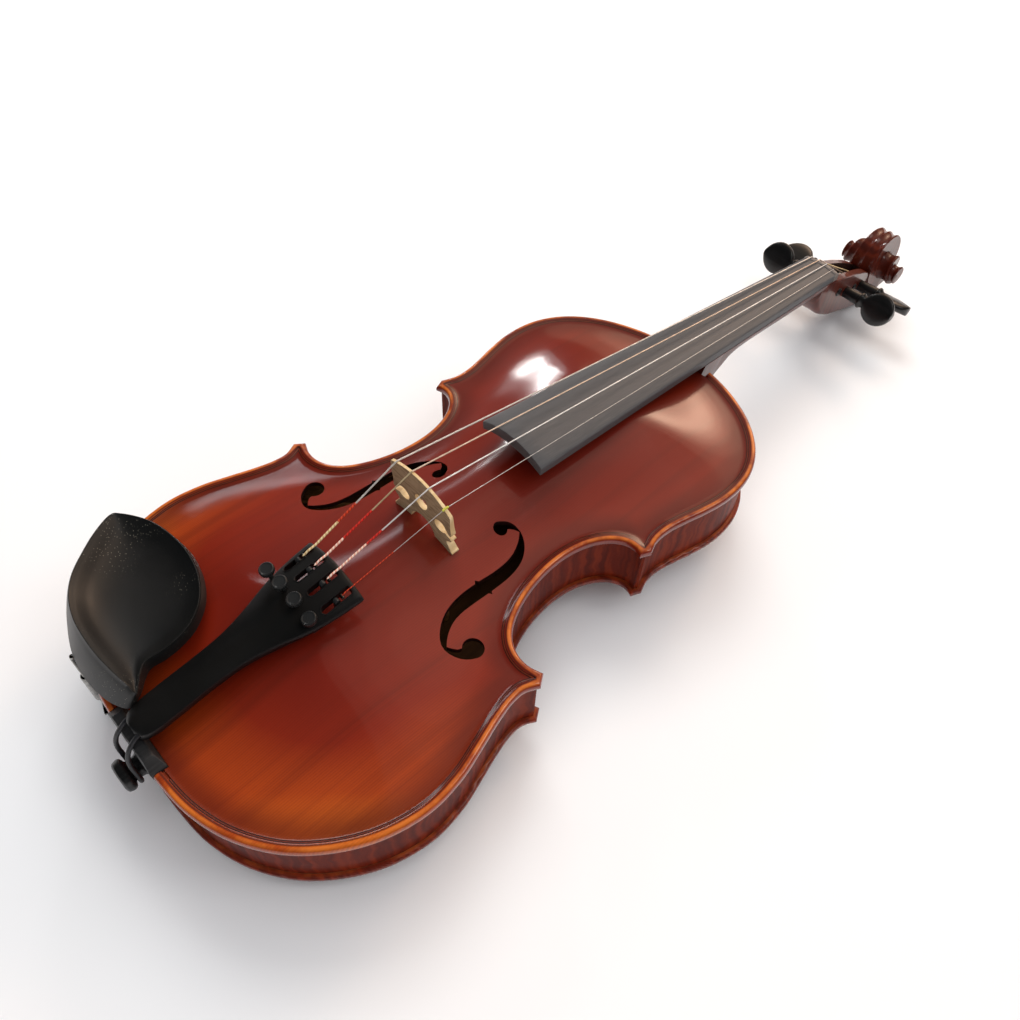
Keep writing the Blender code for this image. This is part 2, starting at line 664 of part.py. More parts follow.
def corner_block(name, A, B, Ai, Bi, la, lb, side):
    full = np.vstack([resample(stretch(A, "end", la, 0), 6), resample(stretch(B, "start", 0, lb), 6)])
    thin = np.vstack([resample(stretch(Ai, "end", la - 4, 0), 6), resample(stretch(Bi, "start", 0, lb - 4), 6)])
    if np.linalg.norm(full[6] - full[7]) < 0.05:
        full = np.delete(full, 7, 0)
        thin = np.delete(thin, 7, 0)
    elif np.linalg.norm(thin[6] - thin[7]) < 0.4:
        d = full[7] - full[6]
        d /= np.linalg.norm(d)
        thin[6] = thin[6] - d * 0.25
        thin[7] = thin[7] + d * 0.25
    c = full.mean(0)
    thin = thin + (c - thin) * 0.02
    za, zb = -LINING_H - 0.4, -RIB_H + LINING_H + 0.4
    polys = [thin, thin, full, full, thin, thin]
    zs = [ZR1 - 0.05, za, za, zb, zb, ZR0 + 0.05]
    V, F = stack([p * [side, 1] for p in polys], zs)
    put(name, V, F, RAW)


for side, s in (("treble", 1), ("bass", -1)):
    corner_block("corner_block_lower_" + side, BO[0], BO[1], BI[0], BI[1], 20, 22, s)
    corner_block("corner_block_upper_" + side, BO[1], BO[2], BI[1], BI[2], 20, 18, s)

LO = offset_bouts(D0, 2.6)
LI = offset_bouts(D0 + LINING_T)
for side, s in (("treble", 1), ("bass", -1)):
    o = np.vstack([at(LO[0], FL), at(LO[1], FC), at(LO[2], FU)])
    i = np.vstack([at(LI[0], FL), at(LI[1], FC), at(LI[2], FU)])
    k = (o[:, 0] > 25.0)
    o, i = o[k], i[k]
    # square ends against the end block and the neck block
    for P in (o, i):
        P[0] = (25.2, np.interp(25.2, [P[0][0] - 1e-6, P[1][0]], [P[0][1], P[1][1]]))
    o, i = o[(o[:, 1] < 200) | (o[:, 0] > 29)], i[(o[:, 1] < 200) | (o[:, 0] > 29)]
    for label, z0, z1 in (("top", -LINING_H, ZR1), ("back", ZR0, -RIB_H + LINING_H)):
        V, F = strip(o * [s, 1], i * [s, 1], z0, z1)
        put("lining_%s_%s" % (label, side), V, F, RAW)

# end block and neck block
L = offset_bouts(D0)[0]
edge = [(x, np.interp(x, L[:, 0], L[:, 1]) + 0.45) for x in (0, 8, 16, 24.5)]
P = [(-x, y) for x, y in edge[:0:-1]] + edge + [(24.5, 16.5), (21.5, 19.5), (-21.5, 19.5), (-24.5, 16.5)]
V, F = stack([P, P], [ZR0 + 0.05, ZR1 - 0.05])
end_block = put("end_block", V, F, RAW)
U = offset_bouts(D0)[2][::-1]
edge = [(x, np.interp(x, U[:, 0], U[:, 1]) - 0.3) for x in (0, 9, 18, 27.5)]
P = edge[:0:-1] + edge[:1] + [(-x, y) for x, y in edge[1:]] + [(-27.5, 337), (-24, 333.5), (24, 333.5), (27.5, 337)]
V, F = stack([P, P], [ZR0 + 0.05, ZR1 - 0.05])
neck_block = put("neck_block", V, F, RAW)

# mortise for the neck root: through the top, the ribs and into the block
m0, m1 = 10.9, 17.5
ring = lambda z, h: [(-h, NECK_ROOT - 0.3, z), (h, NECK_ROOT - 0.3, z), (h, 362, z), (-h, 362, z)]
V, F = loft(np.array([ring(-33, m0 - 0.3), ring(10, m1 + 0.9)]))
mortise = put("cut_neck_mortise", V, F, RAW, cutter=True)
for n in ("top_plate", "neck_block", "rib_upper_treble", "rib_upper_bass"):
    boolean(bpy.data.objects[n], mortise)

# bore for the end button, through the rib joint and the end block
BUT_Z = -15.0
V, F = lathe([(-6, 4.6), (30, 3.9)], 16, (0, 0, BUT_Z), (0, 1, 0))
bore = put("cut_end_button_bore", V, F, RAW, cutter=True)
for n in ("end_block", "rib_lower_treble", "rib_lower_bass"):
    boolean(bpy.data.objects[n], bore)

# saddle, let into the edge of the top
ring = lambda z, h, a, b: [(-h, a, z), (h, a, z), (h, b, z), (-h, b, z)]
V, F = loft(np.array([ring(0.25, SW0, 0.1, 7.2), ring(4.4, SW0, -0.2, 7.2), ring(8.2, SW1, 0.4, 5.6), ring(8.8, SW1 - 0.5, 1.6, 4.6)]))
put("saddle", V, F, EBONY)
V, F = box(-SW0 - 0.3, SW0 + 0.3, -3, 7.5, -2, 9)
notch = put("cut_saddle_notch", V, F, RAW, cutter=True)
boolean(top_plate, notch)

# bass bar: sprung bar under the bass foot of the bridge
ys = np.linspace(42, 312, 12)
rings = []
for y in ys:
    t = (y - 42) / 270
    xc = -15.2 - 2.0 * (1 - t)
    hgt = 3.5 + 7.5 * math.sin(math.pi * t) ** 0.8
    zt = [min(top_inner(x, y + dy) for dy in (-4, 0, 4)) - 0.35 for x in (xc - 2.75, xc + 2.75)]
    rings.append([(xc - 2.75, y, zt[0]), (xc + 2.75, y, zt[1]), (xc + 2.2, y, min(zt) - hgt), (xc - 2.2, y, min(zt) - hgt)])
V, F = loft(np.array(rings))
put("bass_bar", V, F, RAW)

# sound post, just behind the treble foot
px, py, pr = 19.5, 152.5, 3.1
zt = min(top_inner(px + pr * math.cos(a), py + pr * math.sin(a)) for a in np.arange(8) * math.pi / 4) - 0.2
zb = max(back_inner(px + pr * math.cos(a), py + pr * math.sin(a)) for a in np.arange(8) * math.pi / 4) + 0.2
V, F = lathe([(zb, pr), (zt, pr)], 12, (px, py, 0), (0, 0, 1))
put("sound_post", V, F, RAW)

# ------------------------------------------------------------- neck and head
def neck_ring(y, hw, ztop, depth, hb, power, n=5):
    """D-shaped section: flat under the board, round or square under."""
    pts = []
    for a in np.linspace(0, math.pi, 2 * n + 1):
        c, s = math.cos(a), math.sin(a)
        f = abs(s) ** (2 / power)
        x = (hw + (hb - hw) * f) * math.copysign(abs(c) ** (2 / power), c)
        pts.append((x, y, ztop - depth * f))
    return pts


def neck_bottom(y):
    return float(np.interp(y, [300, 366.0, 367.2, 368.6, 371, 375, 380, 386, 395, 478, 500],
                           [-30.7, -30.7, -27.5, -23, -17.2, -12.0, -8.9, -7.0, -7.0, -17.3, -19.8]))


rings = []
for y in (NECK_ROOT, 355, 360, 364, 366.2, 367.2, 368.6, 371, 375, 380, 387, 400, 430, 460, 478, 490.2):
    zt = (glue_z(min(y, NUT_Y)) if y < NUT_Y else GLUE_NUT - (y - NUT_Y) * math.tan(ALPHA)) - 0.15
    zb = neck_bottom(y)
    heel = float(np.clip((376 - y) / 18, 0, 1))
    hw = board_hw(min(y, NUT_Y)) - 0.1
    hb = (10.2 if y < BUTTON_C else math.sqrt(max(10.2 ** 2 - (min(y, 366.2) - BUTTON_C) ** 2, 9)))
    hb = heel * hb + (1 - heel) * hw * 0.92
    rings.append(neck_ring(y, hw, zt, zt - zb, hb, 2.25 + 5 * heel))
V, F = loft(np.array(rings))
neck = put("neck_scroll", V, F, VARNISH_DARK)

FRONT_U = [-9, 5.4, 5.6, 20, 40, 55, 62, 66, 70, 76, 85]
FRONT_W = [0.5, 0.5, 1.2, 4.5, 9.8, 14.8, 18.0, 22.0, 27.5, 33, 35.5]
BACK_U = [-9, -6.5, -4, 2, 15, 30, 45, 60, 72, 85]
BACK_W = [13.2, 18.5, 23.5, 27.6, 32.0, 36.4, 41.0, 45.8, 49.0, 50.3]
SIDE_U = [-9, 0, 20, 40, 60, 72, 85]
SIDE_H = [11.6, 12.3, 11.8, 10.4, 8.6, 7.8, 7.2]
SC_U, SC_W = 85.0, 22.3          # eye of the scroll


def pegbox_ring(u):
    f, b, h = np.interp(u, FRONT_U, FRONT_W), np.interp(u, BACK_U, BACK_W), np.interp(u, SIDE_U, SIDE_H)
    c = min(1.6, (b - f) * 0.2)
    return [head(u, -h, f), head(u, -h, b - c), head(u, -h + 1.5, b), head(u, 0, b - 0.6),
            head(u, h - 1.5, b), head(u, h, b - c), head(u, h, f)]


V, F = loft(np.array([pegbox_ring(u) for u in (-9, -6.5, -4, 2, 5.5, 15, 30, 45, 56, 62, 66, 70, 76, 85.5)]))
pegbox = put("cut_pegbox", V, F, VARNISH_DARK, cutter=True)
boolean(neck, pegbox, 'UNION')

SPIRAL_T = np.array([0, 0.5, 1, 1.5, 2, 2.5, 3, 3.5, 4, 4.5]) * math.pi
SPIRAL_R = [28.2, 22.3, 22.9, 18.6, 14.8, 12.6, 11.0, 9.2, 7.7, 6.4]
SPIRAL_X = [7.2, 6.6, 6.9, 8.6, 10.8, 13.2, 15.2, 17.3, 19.2, 21.0]


def cubic(x, xs, ys):
    """Smooth curve through stations (Hermite with averaged slopes)."""
    xs, ys = np.asarray(xs, float), np.asarray(ys, float)
    m = np.gradient(ys, xs)
    x = float(np.clip(x, xs[0], xs[-1]))
    k = int(min(len(xs) - 2, np.searchsorted(xs, x, side='right') - 1))
    h = xs[k + 1] - xs[k]
    t = (x - xs[k]) / h
    return float(ys[k] * (2 * t ** 3 - 3 * t ** 2 + 1) + ys[k + 1] * (3 * t ** 2 - 2 * t ** 3)
                 + h * (m[k] * (t ** 3 - 2 * t ** 2 + t) + m[k + 1] * (t ** 3 - t ** 2)))


def volute(n, k, flute):
    """Scroll: one long turn of wood wound inwards while it steps out to the eyes.

    n steps a turn, k spaces across each rim, whose face is hollowed by flute."""
    total = int(round(2.25 * n))
    R = lambda i: cubic(2 * math.pi * min(i, total) / n, SPIRAL_T, SPIRAL_R)
    X = lambda i: cubic(2 * math.pi * min(i, total) / n, SPIRAL_T, SPIRAL_X)
    V, F = [], []

    def add(r, x, i):
        a = 2 * math.pi * i / n
        V.append(head(SC_U + r * math.sin(a), x, SC_W + r * math.cos(a)))
        return len(V) - 1
    rows = {}
    for i in range(total + n + 1):
        for s in (1, -1):
            x0, x1 = (X(i - n) if i >= n else 0.0), X(i)
            dip = flute * min(1.0, (x1 - x0) / 4.0)
            rows[s, i] = [rows[1, i][0] if (i < n and j == 0 and s < 0) else
                          add(R(i) - dip * math.sin(math.pi * j / k) * (1 if i < n + n // 4 or x1 - x0 > 0.3 else 0),
                              s * (x0 + (x1 - x0) * j / k), i) for j in range(k + 1)]
    mid = add(R(n), 0.0, n)
    for s in (1, -1):
        def face(*f):
            F.append(f if s > 0 else f[::-1])
        for i in range(total + n):
            A, B = rows[s, i], rows[s, i + 1]
            for j in range(k):
                face(A[j], A[j + 1], B[j + 1], B[j])
            if i == n - 1:
                face(A[0], B[0], mid)
            if i < total:
                C, D = rows[s, i + n], rows[s, i + n + 1]
                face(A[k], C[0], D[0], B[k])
        eye = add(0.0, s * X(total), 0)
        for i in range(total, total + n):
            face(rows[s, i][k], eye, rows[s, i + 1][k])
    a, b, c, d = rows[1, 0], rows[-1, 0], rows[1, n], rows[-1, n]
    F.append(tuple([*b[:0:-1], *a, c[0], mid, d[0]]))
    return V, F


V, F = volute(16, 2, 0.7)
scroll = put("cut_scroll", V, F, VARNISH_DARK, cutter=True)
boolean(neck, scroll, 'UNION')


def cavity_ring(u, grow=0.0):
    b, h = np.interp(u, BACK_U, BACK_W) - 6.0, np.interp(u, SIDE_U, SIDE_H) - 4.8
    return [head(u, -h, -6), head(u, -h * 0.86, b), head(u, h * 0.86, b), head(u, h, -6)]


r0, r1 = cavity_ring(8.0), cavity_ring(62.5)
r0 = [head(6.6, r0[0][0], -6), head(11.0, r0[1][0], 24.5), head(11.0, r0[2][0], 24.5), head(6.6, r0[3][0], -6)]
r1 = [head(62.0, r1[0][0], -6), head(62.0, r1[1][0], 33), head(62.0, r1[2][0], 33), head(62.0, r1[3][0], -6)]
V, F = loft(np.array([r0, cavity_ring(22), cavity_ring(38), cavity_ring(53), r1]))
cavity = put("cut_pegbox_cavity", V, F, RAW, cutter=True)
boolean(neck, cavity)


def shaft_r(x):
    """Peg taper, x measured towards the peg's head."""
    return 3.75 + 0.033 * (x - 12)


PEG_AXIS = {}
for name, u, w, side, blade in PEGS:
    c = head(u, 0, w)
    PEG_AXIS[name] = c
    V, F = lathe([(-20, shaft_r(-20) + 0.3), (20, shaft_r(20) + 0.3)], 12, c, (side, 0, 0))
    hole = put("cut_peg_hole_" + name, V, F, RAW, origin=c, cutter=True)
    boolean(neck, hole)

# --------------------------------------------------------------- fingerboard
rings = []
nb = 8
for y in (BOARD_END, 240, 270, 300, 330, 351.0, 353.5, 390, 430, NUT_Y - 0.0):
    hw, zc = board_hw(y), board_crown(y)
    ts = np.linspace(-1, 1, nb + 1)
    top = [(hw * t, y, zc - sag(hw * t)) for t in ts]
    top = [(-hw, y, zc - sag(hw) - 0.6)] + [(x * 0.99, yy, z) for x, yy, z in top] + [(hw, y, zc - sag(hw) - 0.6)]
    zb = glue_z(y) + 0.15
    hollow = 1.0 if y <= 351 else 0.0
    bot = []
    for t in ts[::-1]:
        x = (hw - 0.25) * t
        lift = hollow * max(0.0, 1 - abs(t) ** 2.2) * (zc - 6.2 - zb if y < 352 else 0)
        bot.append((x, y, zb + lift))
    rings.append(top + bot)
V, F = loft(np.array(rings))
put("fingerboard", V, F, EBONY)

# nut
rings = []
for y, dz in ((NUT_Y + 0.3, -0.15), (NUT_Y + 1.4, 0.0), (NUT_Y + 2.9, -0.2), (NUT_Y + 3.8, -1.1), (NUT_Y + 4.8, -3.2)):
    ts = np.linspace(-1, 1, 9)
    zb = GLUE_NUT - (y - NUT_Y) * math.tan(ALPHA) + 0.15
    hw = 12.0
    rings.append([(hw * t, y, nut_top(hw * t) + dz) for t in ts] + [(hw, y, zb), (-hw, y, zb)])
V, F = loft(np.array(rings))
put("nut", V, F, BONE)

# ------------------------------------------------------ end button, tail cord
V, F = lathe([(16.0, 3.0), (2.6, 3.6), (2.1, 3.6), (2.1, 6.2), (0.2, 6.4), (-1.4, 5.0), (-5.6, 4.6), (-6.6, 7.2),
              (-8.0, 7.8), (-10.4, 7.2), (-11.2, 5.6)], 16, (0, 0, BUT_Z), (0, 1, 0))
put("end_button", V, F, EBONY)

CORD_R = 1.1
route = [(4.6, 15.0, 15.2), (4.6, 9.5, 14.36), (4.6, 4.4, 13.6), (4.7, 1.4, 11.4), (4.9, -1.2, 8.6), (5.1, -3.2, 4.6),
         (5.5, -4.2, -1.5), (5.95, -4.25, -9.0), (6.1, -4.25, BUT_Z), (4.35, -4.25, BUT_Z - 4.35), (0, -4.25, BUT_Z - 6.15)]


def tube(name, pts, radius, mat, n, res=2):
    cu = bpy.data.curves.new(name, 'CURVE')
    cu.dimensions = '3D'
    cu.bevel_depth = radius * MM
    cu.bevel_resolution = res
    cu.use_fill_caps = True
    P = spline(pts, n)
    sp = cu.splines.new('POLY')
    sp.points.add(len(P) - 1)
    for q, p in zip(sp.points, P):
        q.co = (*(p * MM), 1)
    ob = bpy.data.objects.new(name, cu)
    bpy.context.scene.collection.objects.link(ob)
    ob.parent = FRAME
    cu.materials.append(material(*mat))
    return ob


back_route = [(-x, y, z) for x, y, z in route[:-1]][::-1]
tube("tail_cord", route + back_route, CORD_R, DYED, 34)

# ----------------------------------------------------------------- tailpiece
TP_Y = [4.0, 6.0, 10, 20, 40, 55, 68, 82, 96, 109.0]
TP_HW = [4.5, 6.8, 8.2, 8.7, 8.7, 9.6, 12.6, 16.9, 19.3, 20.4]


def tp_crown(y):
    return 17.0 + (33.0 - 17.0) * (y - 4) / 105.0


def tp_hw(y):
    return cubic(y, TP_Y, TP_HW)


def tp_drop(y):
    """How far the edge of the tailpiece lies under its crown."""
    return cubic(y, [4, 40, 70, 109], [3.0, 3.4, 4.6, 6.4])


def tp_top(x, y):
    return tp_crown(y) - tp_drop(y) * min(1.0, abs(x) / tp_hw(y)) ** 1.8


rings = []
for y in (4.0, 6.0, 10, 20, 40, 55, 68, 82, 91, 100, 107.8, 109.0):
    hw = tp_hw(y)
    ts = np.linspace(-1, 1, 9)
    lip = 0.8 if y > 108 else 0.0
    top = [(hw * t, y, tp_top(hw * t, y) - lip) for t in ts]
    under = [((hw - 0.8) * t, y, tp_top(hw * t, y) - (3.4 if y > 80 else 4.2)) for t in ts[::-1]]
    rings.append(top + under)
V, F = loft(np.array(rings))
tailpiece = put("tailpiece", V, F, COMPOSITE)
TUNER_Y, PIVOT_Y = 85.0, 98.5
TP_PITCH = math.atan((33.0 - 17.0) / 105.0)
for s in STRINGS:
    n, xt = s[0], s[5]
    V, F = box(xt - 1.7, xt + 1.7, 91.0, 106.6, 10, 50)
    boolean(tailpiece, put("cut_slot_" + n, V, F, RAW, cutter=True))
    c = (xt, TUNER_Y, tp_top(xt, TUNER_Y))
    up = (0, -math.sin(TP_PITCH), math.cos(TP_PITCH))
    V, F = lathe([(-9, 1.55), (9, 1.55)], 12, c, up)
    boolean(tailpiece, put("cut_screw_hole_" + n, V, F, RAW, cutter=True))
# bores for the two ends of the tail cord, in the narrow end
for s in (1, -1):
    V, F = lathe([(-6, 1.5), (16, 1.5)], 12, (4.6 * s, 3.0, 13.37), (0, 1, 0.1527))
    boolean(tailpiece, put("cut_cord_bore_%s" % ("treble" if s > 0 else "bass"), V, F, RAW, cutter=True))

UP = np.array((0, -math.sin(TP_PITCH), math.cos(TP_PITCH)))      # square to the tailpiece
ALONG = np.array((0, math.cos(TP_PITCH), math.sin(TP_PITCH)))
KNOB_H = {"g": 8.0, "d": 5.0, "a": 2.6, "e": 1.2}               # how far each knob stands off
for s in STRINGS:
    n, xt = s[0], s[5]
    base = np.array((xt, TUNER_Y, tp_top(xt, TUNER_Y)))
    h = KNOB_H[n]
    V, F = lathe([(-5.0, 0.8), (-4.6, 1.2), (h, 1.2), (h, 3.2), (h + 0.4, 3.6), (h + 2.6, 3.6), (h + 3.0, 3.1)], 12, base, UP)
    put("tuner_screw_" + n, V, F, COMPOSITE, origin=base)
    # lever: fork in the slot, pivot under the plate, arm back under the screw
    p = np.array((xt, PIVOT_Y, tp_top(xt, PIVOT_Y))) - UP * 6.0
    side = [(-15.5, -1.0), (-15.5, -2.4), (-2.0, -2.7), (1.6, -2.4), (2.2, -0.8), (1.9, 2.0), (1.4, 6.2), (0.4, 6.9), (-1.0, 6.2),
            (-1.6, 1.6), (-3.0, -1.0)]
    rings = [[p + ALONG * a + UP * b + np.array((dx, 0, 0)) for a, b in side] for dx in (-1.15, 1.15)]
    V, F = loft(np.array(rings))
    put("tuner_lever_" + n, V, F, COMPOSITE, origin=p)


# ---------------------------------------------------- strings and their pegs
def polytube(name, P, radius, mat, res=2):
    cu = bpy.data.curves.new(name, 'CURVE')
    cu.dimensions = '3D'
    cu.bevel_depth = radius * MM
    cu.bevel_resolution = res
    cu.use_fill_caps = True
    sp = cu.splines.new('POLY')
    sp.points.add(len(P) - 1)
    for q, p in zip(sp.points, P):
        q.co = (*(np.array(p) * MM), 1)
    ob = bpy.data.objects.new(name, cu)
    bpy.context.scene.collection.objects.link(ob)
    ob.parent = FRAME
    cu.materials.append(material(*mat))
    return ob


WIND = {"g": (-5.6, -1.6), "d": (-4.0, -0.6), "a": (0.4, 3.0), "e": (1.8, 5.0)}     # windings along each peg
PEG_SIDE = {p[0]: p[3] for p in PEGS}
BRIDGE_Z = {}
for s in STRINGS:
    n, xb, xn, h, r, xt = s
    zn, zb = string_line(s)
    BRIDGE_Z[n] = zb
    side = PEG_SIDE[n]
    cx, cy, cz = PEG_AXIS[n]
    w0, w1 = WIND[n]
    rin = max(shaft_r(side * w0), shaft_r(side * w1)) + 0.15
    rout = rin + 2 * r
    # winding: a sleeve of turns with a groove between each two
    turns = 2
    prof = []
    for k in range(turns):
        a, b = w0 + (w1 - w0) * k / turns, w0 + (w1 - w0) * (k + 1) / turns
        prof += [(a, rout - 0.25 * r), ((a + b) / 2, rout)]
    prof.append((w1, rout - 0.25 * r))
    ring = [(w0, rin)] + prof + [(w1, rin)]
    rings = []
    for t in np.arange(12) * math.pi / 6:
        rings.append([(x, cy + q * math.cos(t), cz + q * math.sin(t)) for x, q in ring])
    rings.append(rings[0])
    V, F = loft(np.array(rings), False, False)
    put("string_winding_" + n, V, F, STEEL, origin=(cx, cy, cz))
    # tangent from the nut to the top of the winding
    ny, nz = NUT_Y + 3.2, zn - 0.15
    rho = rout + r + 0.12
    dy, dz = cy - ny, cz - nz
    D = math.hypot(dy, dz)
    a0 = math.atan2(dz, dy)
    b0 = math.asin(rho / D)
    t = math.sqrt(D * D - rho * rho)
    ty, tz = ny + t * math.cos(a0 + b0), nz + t * math.sin(a0 + b0)
    xw = w1 - r - 0.1 if side < 0 else w0 + r + 0.1
    slope = (zb - zn) / (APEX - NUT_Y - 2)
    ztp = tp_top(xt, 107.9) + 0.32 + r
    P = [(xt, 101.4, tp_top(xt, 101.4) - 0.2), (xt, 104.5, (tp_top(xt, 101.4) + ztp) / 2 + 0.4), (xt, 107.4, ztp - 0.02), (xt, 108.6, ztp + 0.2)]
    P += [(xt + (xb - xt) * f, 108.6 + (APEX - 0.8 - 108.6) * f, ztp + 0.2 + (zb - 0.14 - ztp - 0.2) * f) for f in (0.5, 1.0)]
    P += [(xb, APEX, zb), (xb + (xn - xb) / 325, APEX + 1.2, zb + slope * 1.2)]
    P += [(xb + (xn - xb) * f, APEX + (NUT_Y + 2 - APEX) * f, zb + (zn - zb) * f) for f in (0.33, 0.66, 0.99, 1.0)]
    P += [(xn, ny, nz), (xn + (xw - xn) * 0.12, ny + (ty - ny) * 0.12, nz + (tz - nz) * 0.12), (xw, ty, tz)]
    polytube("string_" + n, P, r, STEEL)

for name, u, w, side, blade in PEGS:
    c = np.array(PEG_AXIS[name])
    th = math.radians(blade)
    e1 = np.array((0, math.cos(th), math.sin(th)))
    e2 = np.array((0, -math.sin(th), math.cos(th)))
    tip = -(np.interp(u, SIDE_U, SIDE_H) + 0.8)
    secs = [(tip, shaft_r(tip), shaft_r(tip)), (22.6, shaft_r(22.6), shaft_r(22.6)), (23.0, 5.0, 5.0), (24.6, 5.2, 5.2), (25.2, 4.3, 4.0)]
    for q in (-0.86, -0.6, -0.2, 0.25, 0.6, 0.86, 0.97):
        a = PEG_HEAD_R * math.sqrt(1 - q * q)
        secs.append((PEG_HEAD_X + PEG_HEAD_R * q, max(a, 2.6), 3.7 - 0.5 * abs(q) + (0.2 if q < -0.5 else 0)))
    secs.append((PEG_HEAD_X + PEG_HEAD_R, 1.2, 2.0))
    rings = [[c + np.array((side * x, 0, 0)) + e1 * a * math.cos(t) + e2 * b * math.sin(t)
              for t in np.arange(12) * math.pi / 6] for x, a, b in secs]
    V, F = loft(np.array(rings))
    put("peg_" + name, V, F, EBONY, origin=c)

# -------------------------------------------------------------------- bridge
BR_Y0 = 158.2


def bridge_top(x):
    """Top edge of the bridge, under the four strings."""
    xs = [-20.6] + [s[1] for s in STRINGS] + [20.4]
    lift = {"g": 0.42, "d": 0.38, "a": 0.34, "e": 0.90}
    zs = [BRIDGE_Z[s[0]] - lift[s[0]] - 0.28 for s in STRINGS]
    zs = [zs[0] - 2.0] + zs + [zs[-1] - 2.4]
    return cubic(x, xs, zs)


def foot(x):
    return max(top_outer(x, BR_Y0 + d) for d in (-0.2, 2.2, 4.6)) + 0.25


def bridge_outline(n=7):
    """Treble half: foot, ankle, lower wing, slot and kidney, upper wing, side."""
    z0 = foot(15)
    sole = [(x, foot(x)) for x in (9.2, 13.0, 17.0, 20.8)]
    kidney = [(13.2 + 4.1 * math.cos(a), z0 + 13.7 + 3.6 * math.sin(a)) for a in np.radians(np.linspace(-38, -342, n))]
    up = ([(20.9, foot(20.8) + 1.7), (18.9, z0 + 3.4), (17.5, z0 + 4.8), (17.4, z0 + 6.4), (18.8, z0 + 7.6), (20.6, z0 + 8.6),
           (20.9, z0 + 9.8), (19.6, z0 + 10.5)] + kidney + [(19.4, z0 + 12.4), (20.9, z0 + 13.0), (20.9, z0 + 15.4),
                                                           (20.6, z0 + 20.0), (20.6, z0 + 25.0)])
    inner = [(8.7, z0 + 2.2), (7.6, z0 + 4.6), (5.2, z0 + 7.2), (2.4, z0 + 8.7), (0.0, z0 + 9.1)]
    right = inner[::-1] + sole + up
    # bass side mirrored, on its own foot line
    left = [(-x, z) for x, z in right[1:]]
    top = [(x, bridge_top(x)) for x in np.linspace(20.2, -20.4, 13)]
    k = len(inner)
    left = [(x, foot(x) if k - 1 <= i < k - 1 + len(sole) else z) for i, (x, z) in enumerate(left)]
    return np.array(right + top + left[::-1])


def heart(z0):
    P = []
    for t in np.arange(14) * 2 * math.pi / 14:
        x = 4.2 * math.sin(t) ** 3
        y = 3.4 * math.cos(t) - 1.6 * math.cos(2 * t) - 0.6 * math.cos(3 * t)
        P.append((x, z0 + y))
    return np.array(P)


out = bridge_outline()
holes = [heart(foot(15) + 19.0)]
V, F = slab(out, holes, lambda P: np.ones(len(P)), lambda P: np.zeros(len(P)))
t = 4.4 - 2.9 * np.clip((V[:, 1] - 14) / 33, 0, 1)
V = np.c_[V[:, 0], BR_Y0 + np.where(V[:, 2] > 0.5, t, 0.0), V[:, 1]]
put("bridge", V, F, MAPLE)

# sleeve on the E string where it crosses the bridge
se = STRINGS[3]
ye = [APEX - 4.0, APEX, APEX + 4.5]
sl = (BRIDGE_Z["e"] - string_line(se)[0]) / (NUT_Y + 2 - APEX)
sb = (BRIDGE_Z["e"] - 0.14 - tp_top(14.2, 107.9) - 0.68) / (APEX - 0.8 - 108.6)
sx = (17.0 - 14.2) / (APEX - 0.8 - 108.6)
ctr = [(17.0 - sx * 3.2, ye[0], BRIDGE_Z["e"] - 0.14 - sb * 3.2), (17.0, ye[1], BRIDGE_Z["e"]),
       (17.0 - 4.5 * 8.75 / 327, ye[2], BRIDGE_Z["e"] - sl * 4.5)]
o_r, i_r = 0.8, 0.34
rings = [[(cx + q * math.cos(t), cy, cz + q * math.sin(t)) for t in np.arange(10) * math.pi / 5]
         for q, seq in ((o_r, ctr), (i_r, ctr[::-1])) for cx, cy, cz in seq]
rings.append(rings[0])
V, F = loft(np.array(rings), False, False)
put("e_string_sleeve", V, F, SLEEVE)

# ----------------------------------------------------------------- chin rest
# rim stations round the rest from the tongue: lower edge, then crest of the rim
REST = [((-8.0, 8.5, 14.0), (-7.5, 13.0, 22.0)), ((-15.5, 3.7, 13.0), (-12.5, 11.8, 25.5)),
        ((-25.8, 1.2, 12.5), (-20.5, 10.2, 27.0)), ((-37.6, 0.6, 12.5), (-31.0, 9.0, 28.0)),
        ((-50.3, 2.3, 12.5), (-42.0, 8.9, 28.5)), ((-63.5, 7.0, 13.0), (-53.0, 10.0, 29.0)),
        ((-74.5, 12.5, 13.5), (-64.0, 13.6, 29.0)), ((-83.5, 20.0, 14.5), (-73.5, 20.0, 29.0)),
        ((-90.5, 29.0, 16.0), (-82.0, 29.5, 28.5)), ((-95.5, 38.5, 17.5), (-89.0, 39.0, 28.0)),
        ((-98.0, 48.0, 19.0), (-94.0, 48.5, 27.0)), ((-94.5, 54.8, 18.5), (-92.5, 53.0, 25.5)),
        ((-86.5, 60.2, 17.5), (-85.5, 59.0, 24.0)), ((-78.0, 64.2, 17.0), (-77.8, 62.7, 23.0)),
        ((-68.5, 66.3, 16.5), (-68.7, 64.8, 22.0)), ((-58.5, 67.2, 16.5), (-59.0, 65.6, 21.5)),
        ((-48.5, 66.0, 16.5), (-49.3, 64.6, 21.3)), ((-40.0, 63.6, 16.5), (-41.0, 62.3, 21.2)),
        ((-32.2, 59.7, 16.5), (-33.6, 58.6, 21.2)), ((-25.8, 54.4, 16.5), (-27.3, 53.6, 21.2)),
        ((-20.3, 46.8, 16.5), (-22.0, 46.3, 21.2)), ((-17.6, 38.8, 16.5), (-19.3, 38.5, 21.2)),
        ((-16.6, 30.6, 16.5), (-18.4, 30.5, 21.2)), ((-17.0, 24.0, 16.5), (-18.5, 23.5, 21.4)),
        ((-14.5, 19.5, 16.0), (-15.5, 19.5, 21.8)), ((-10.5, 15.0, 15.0), (-10.5, 16.0, 22.0))]
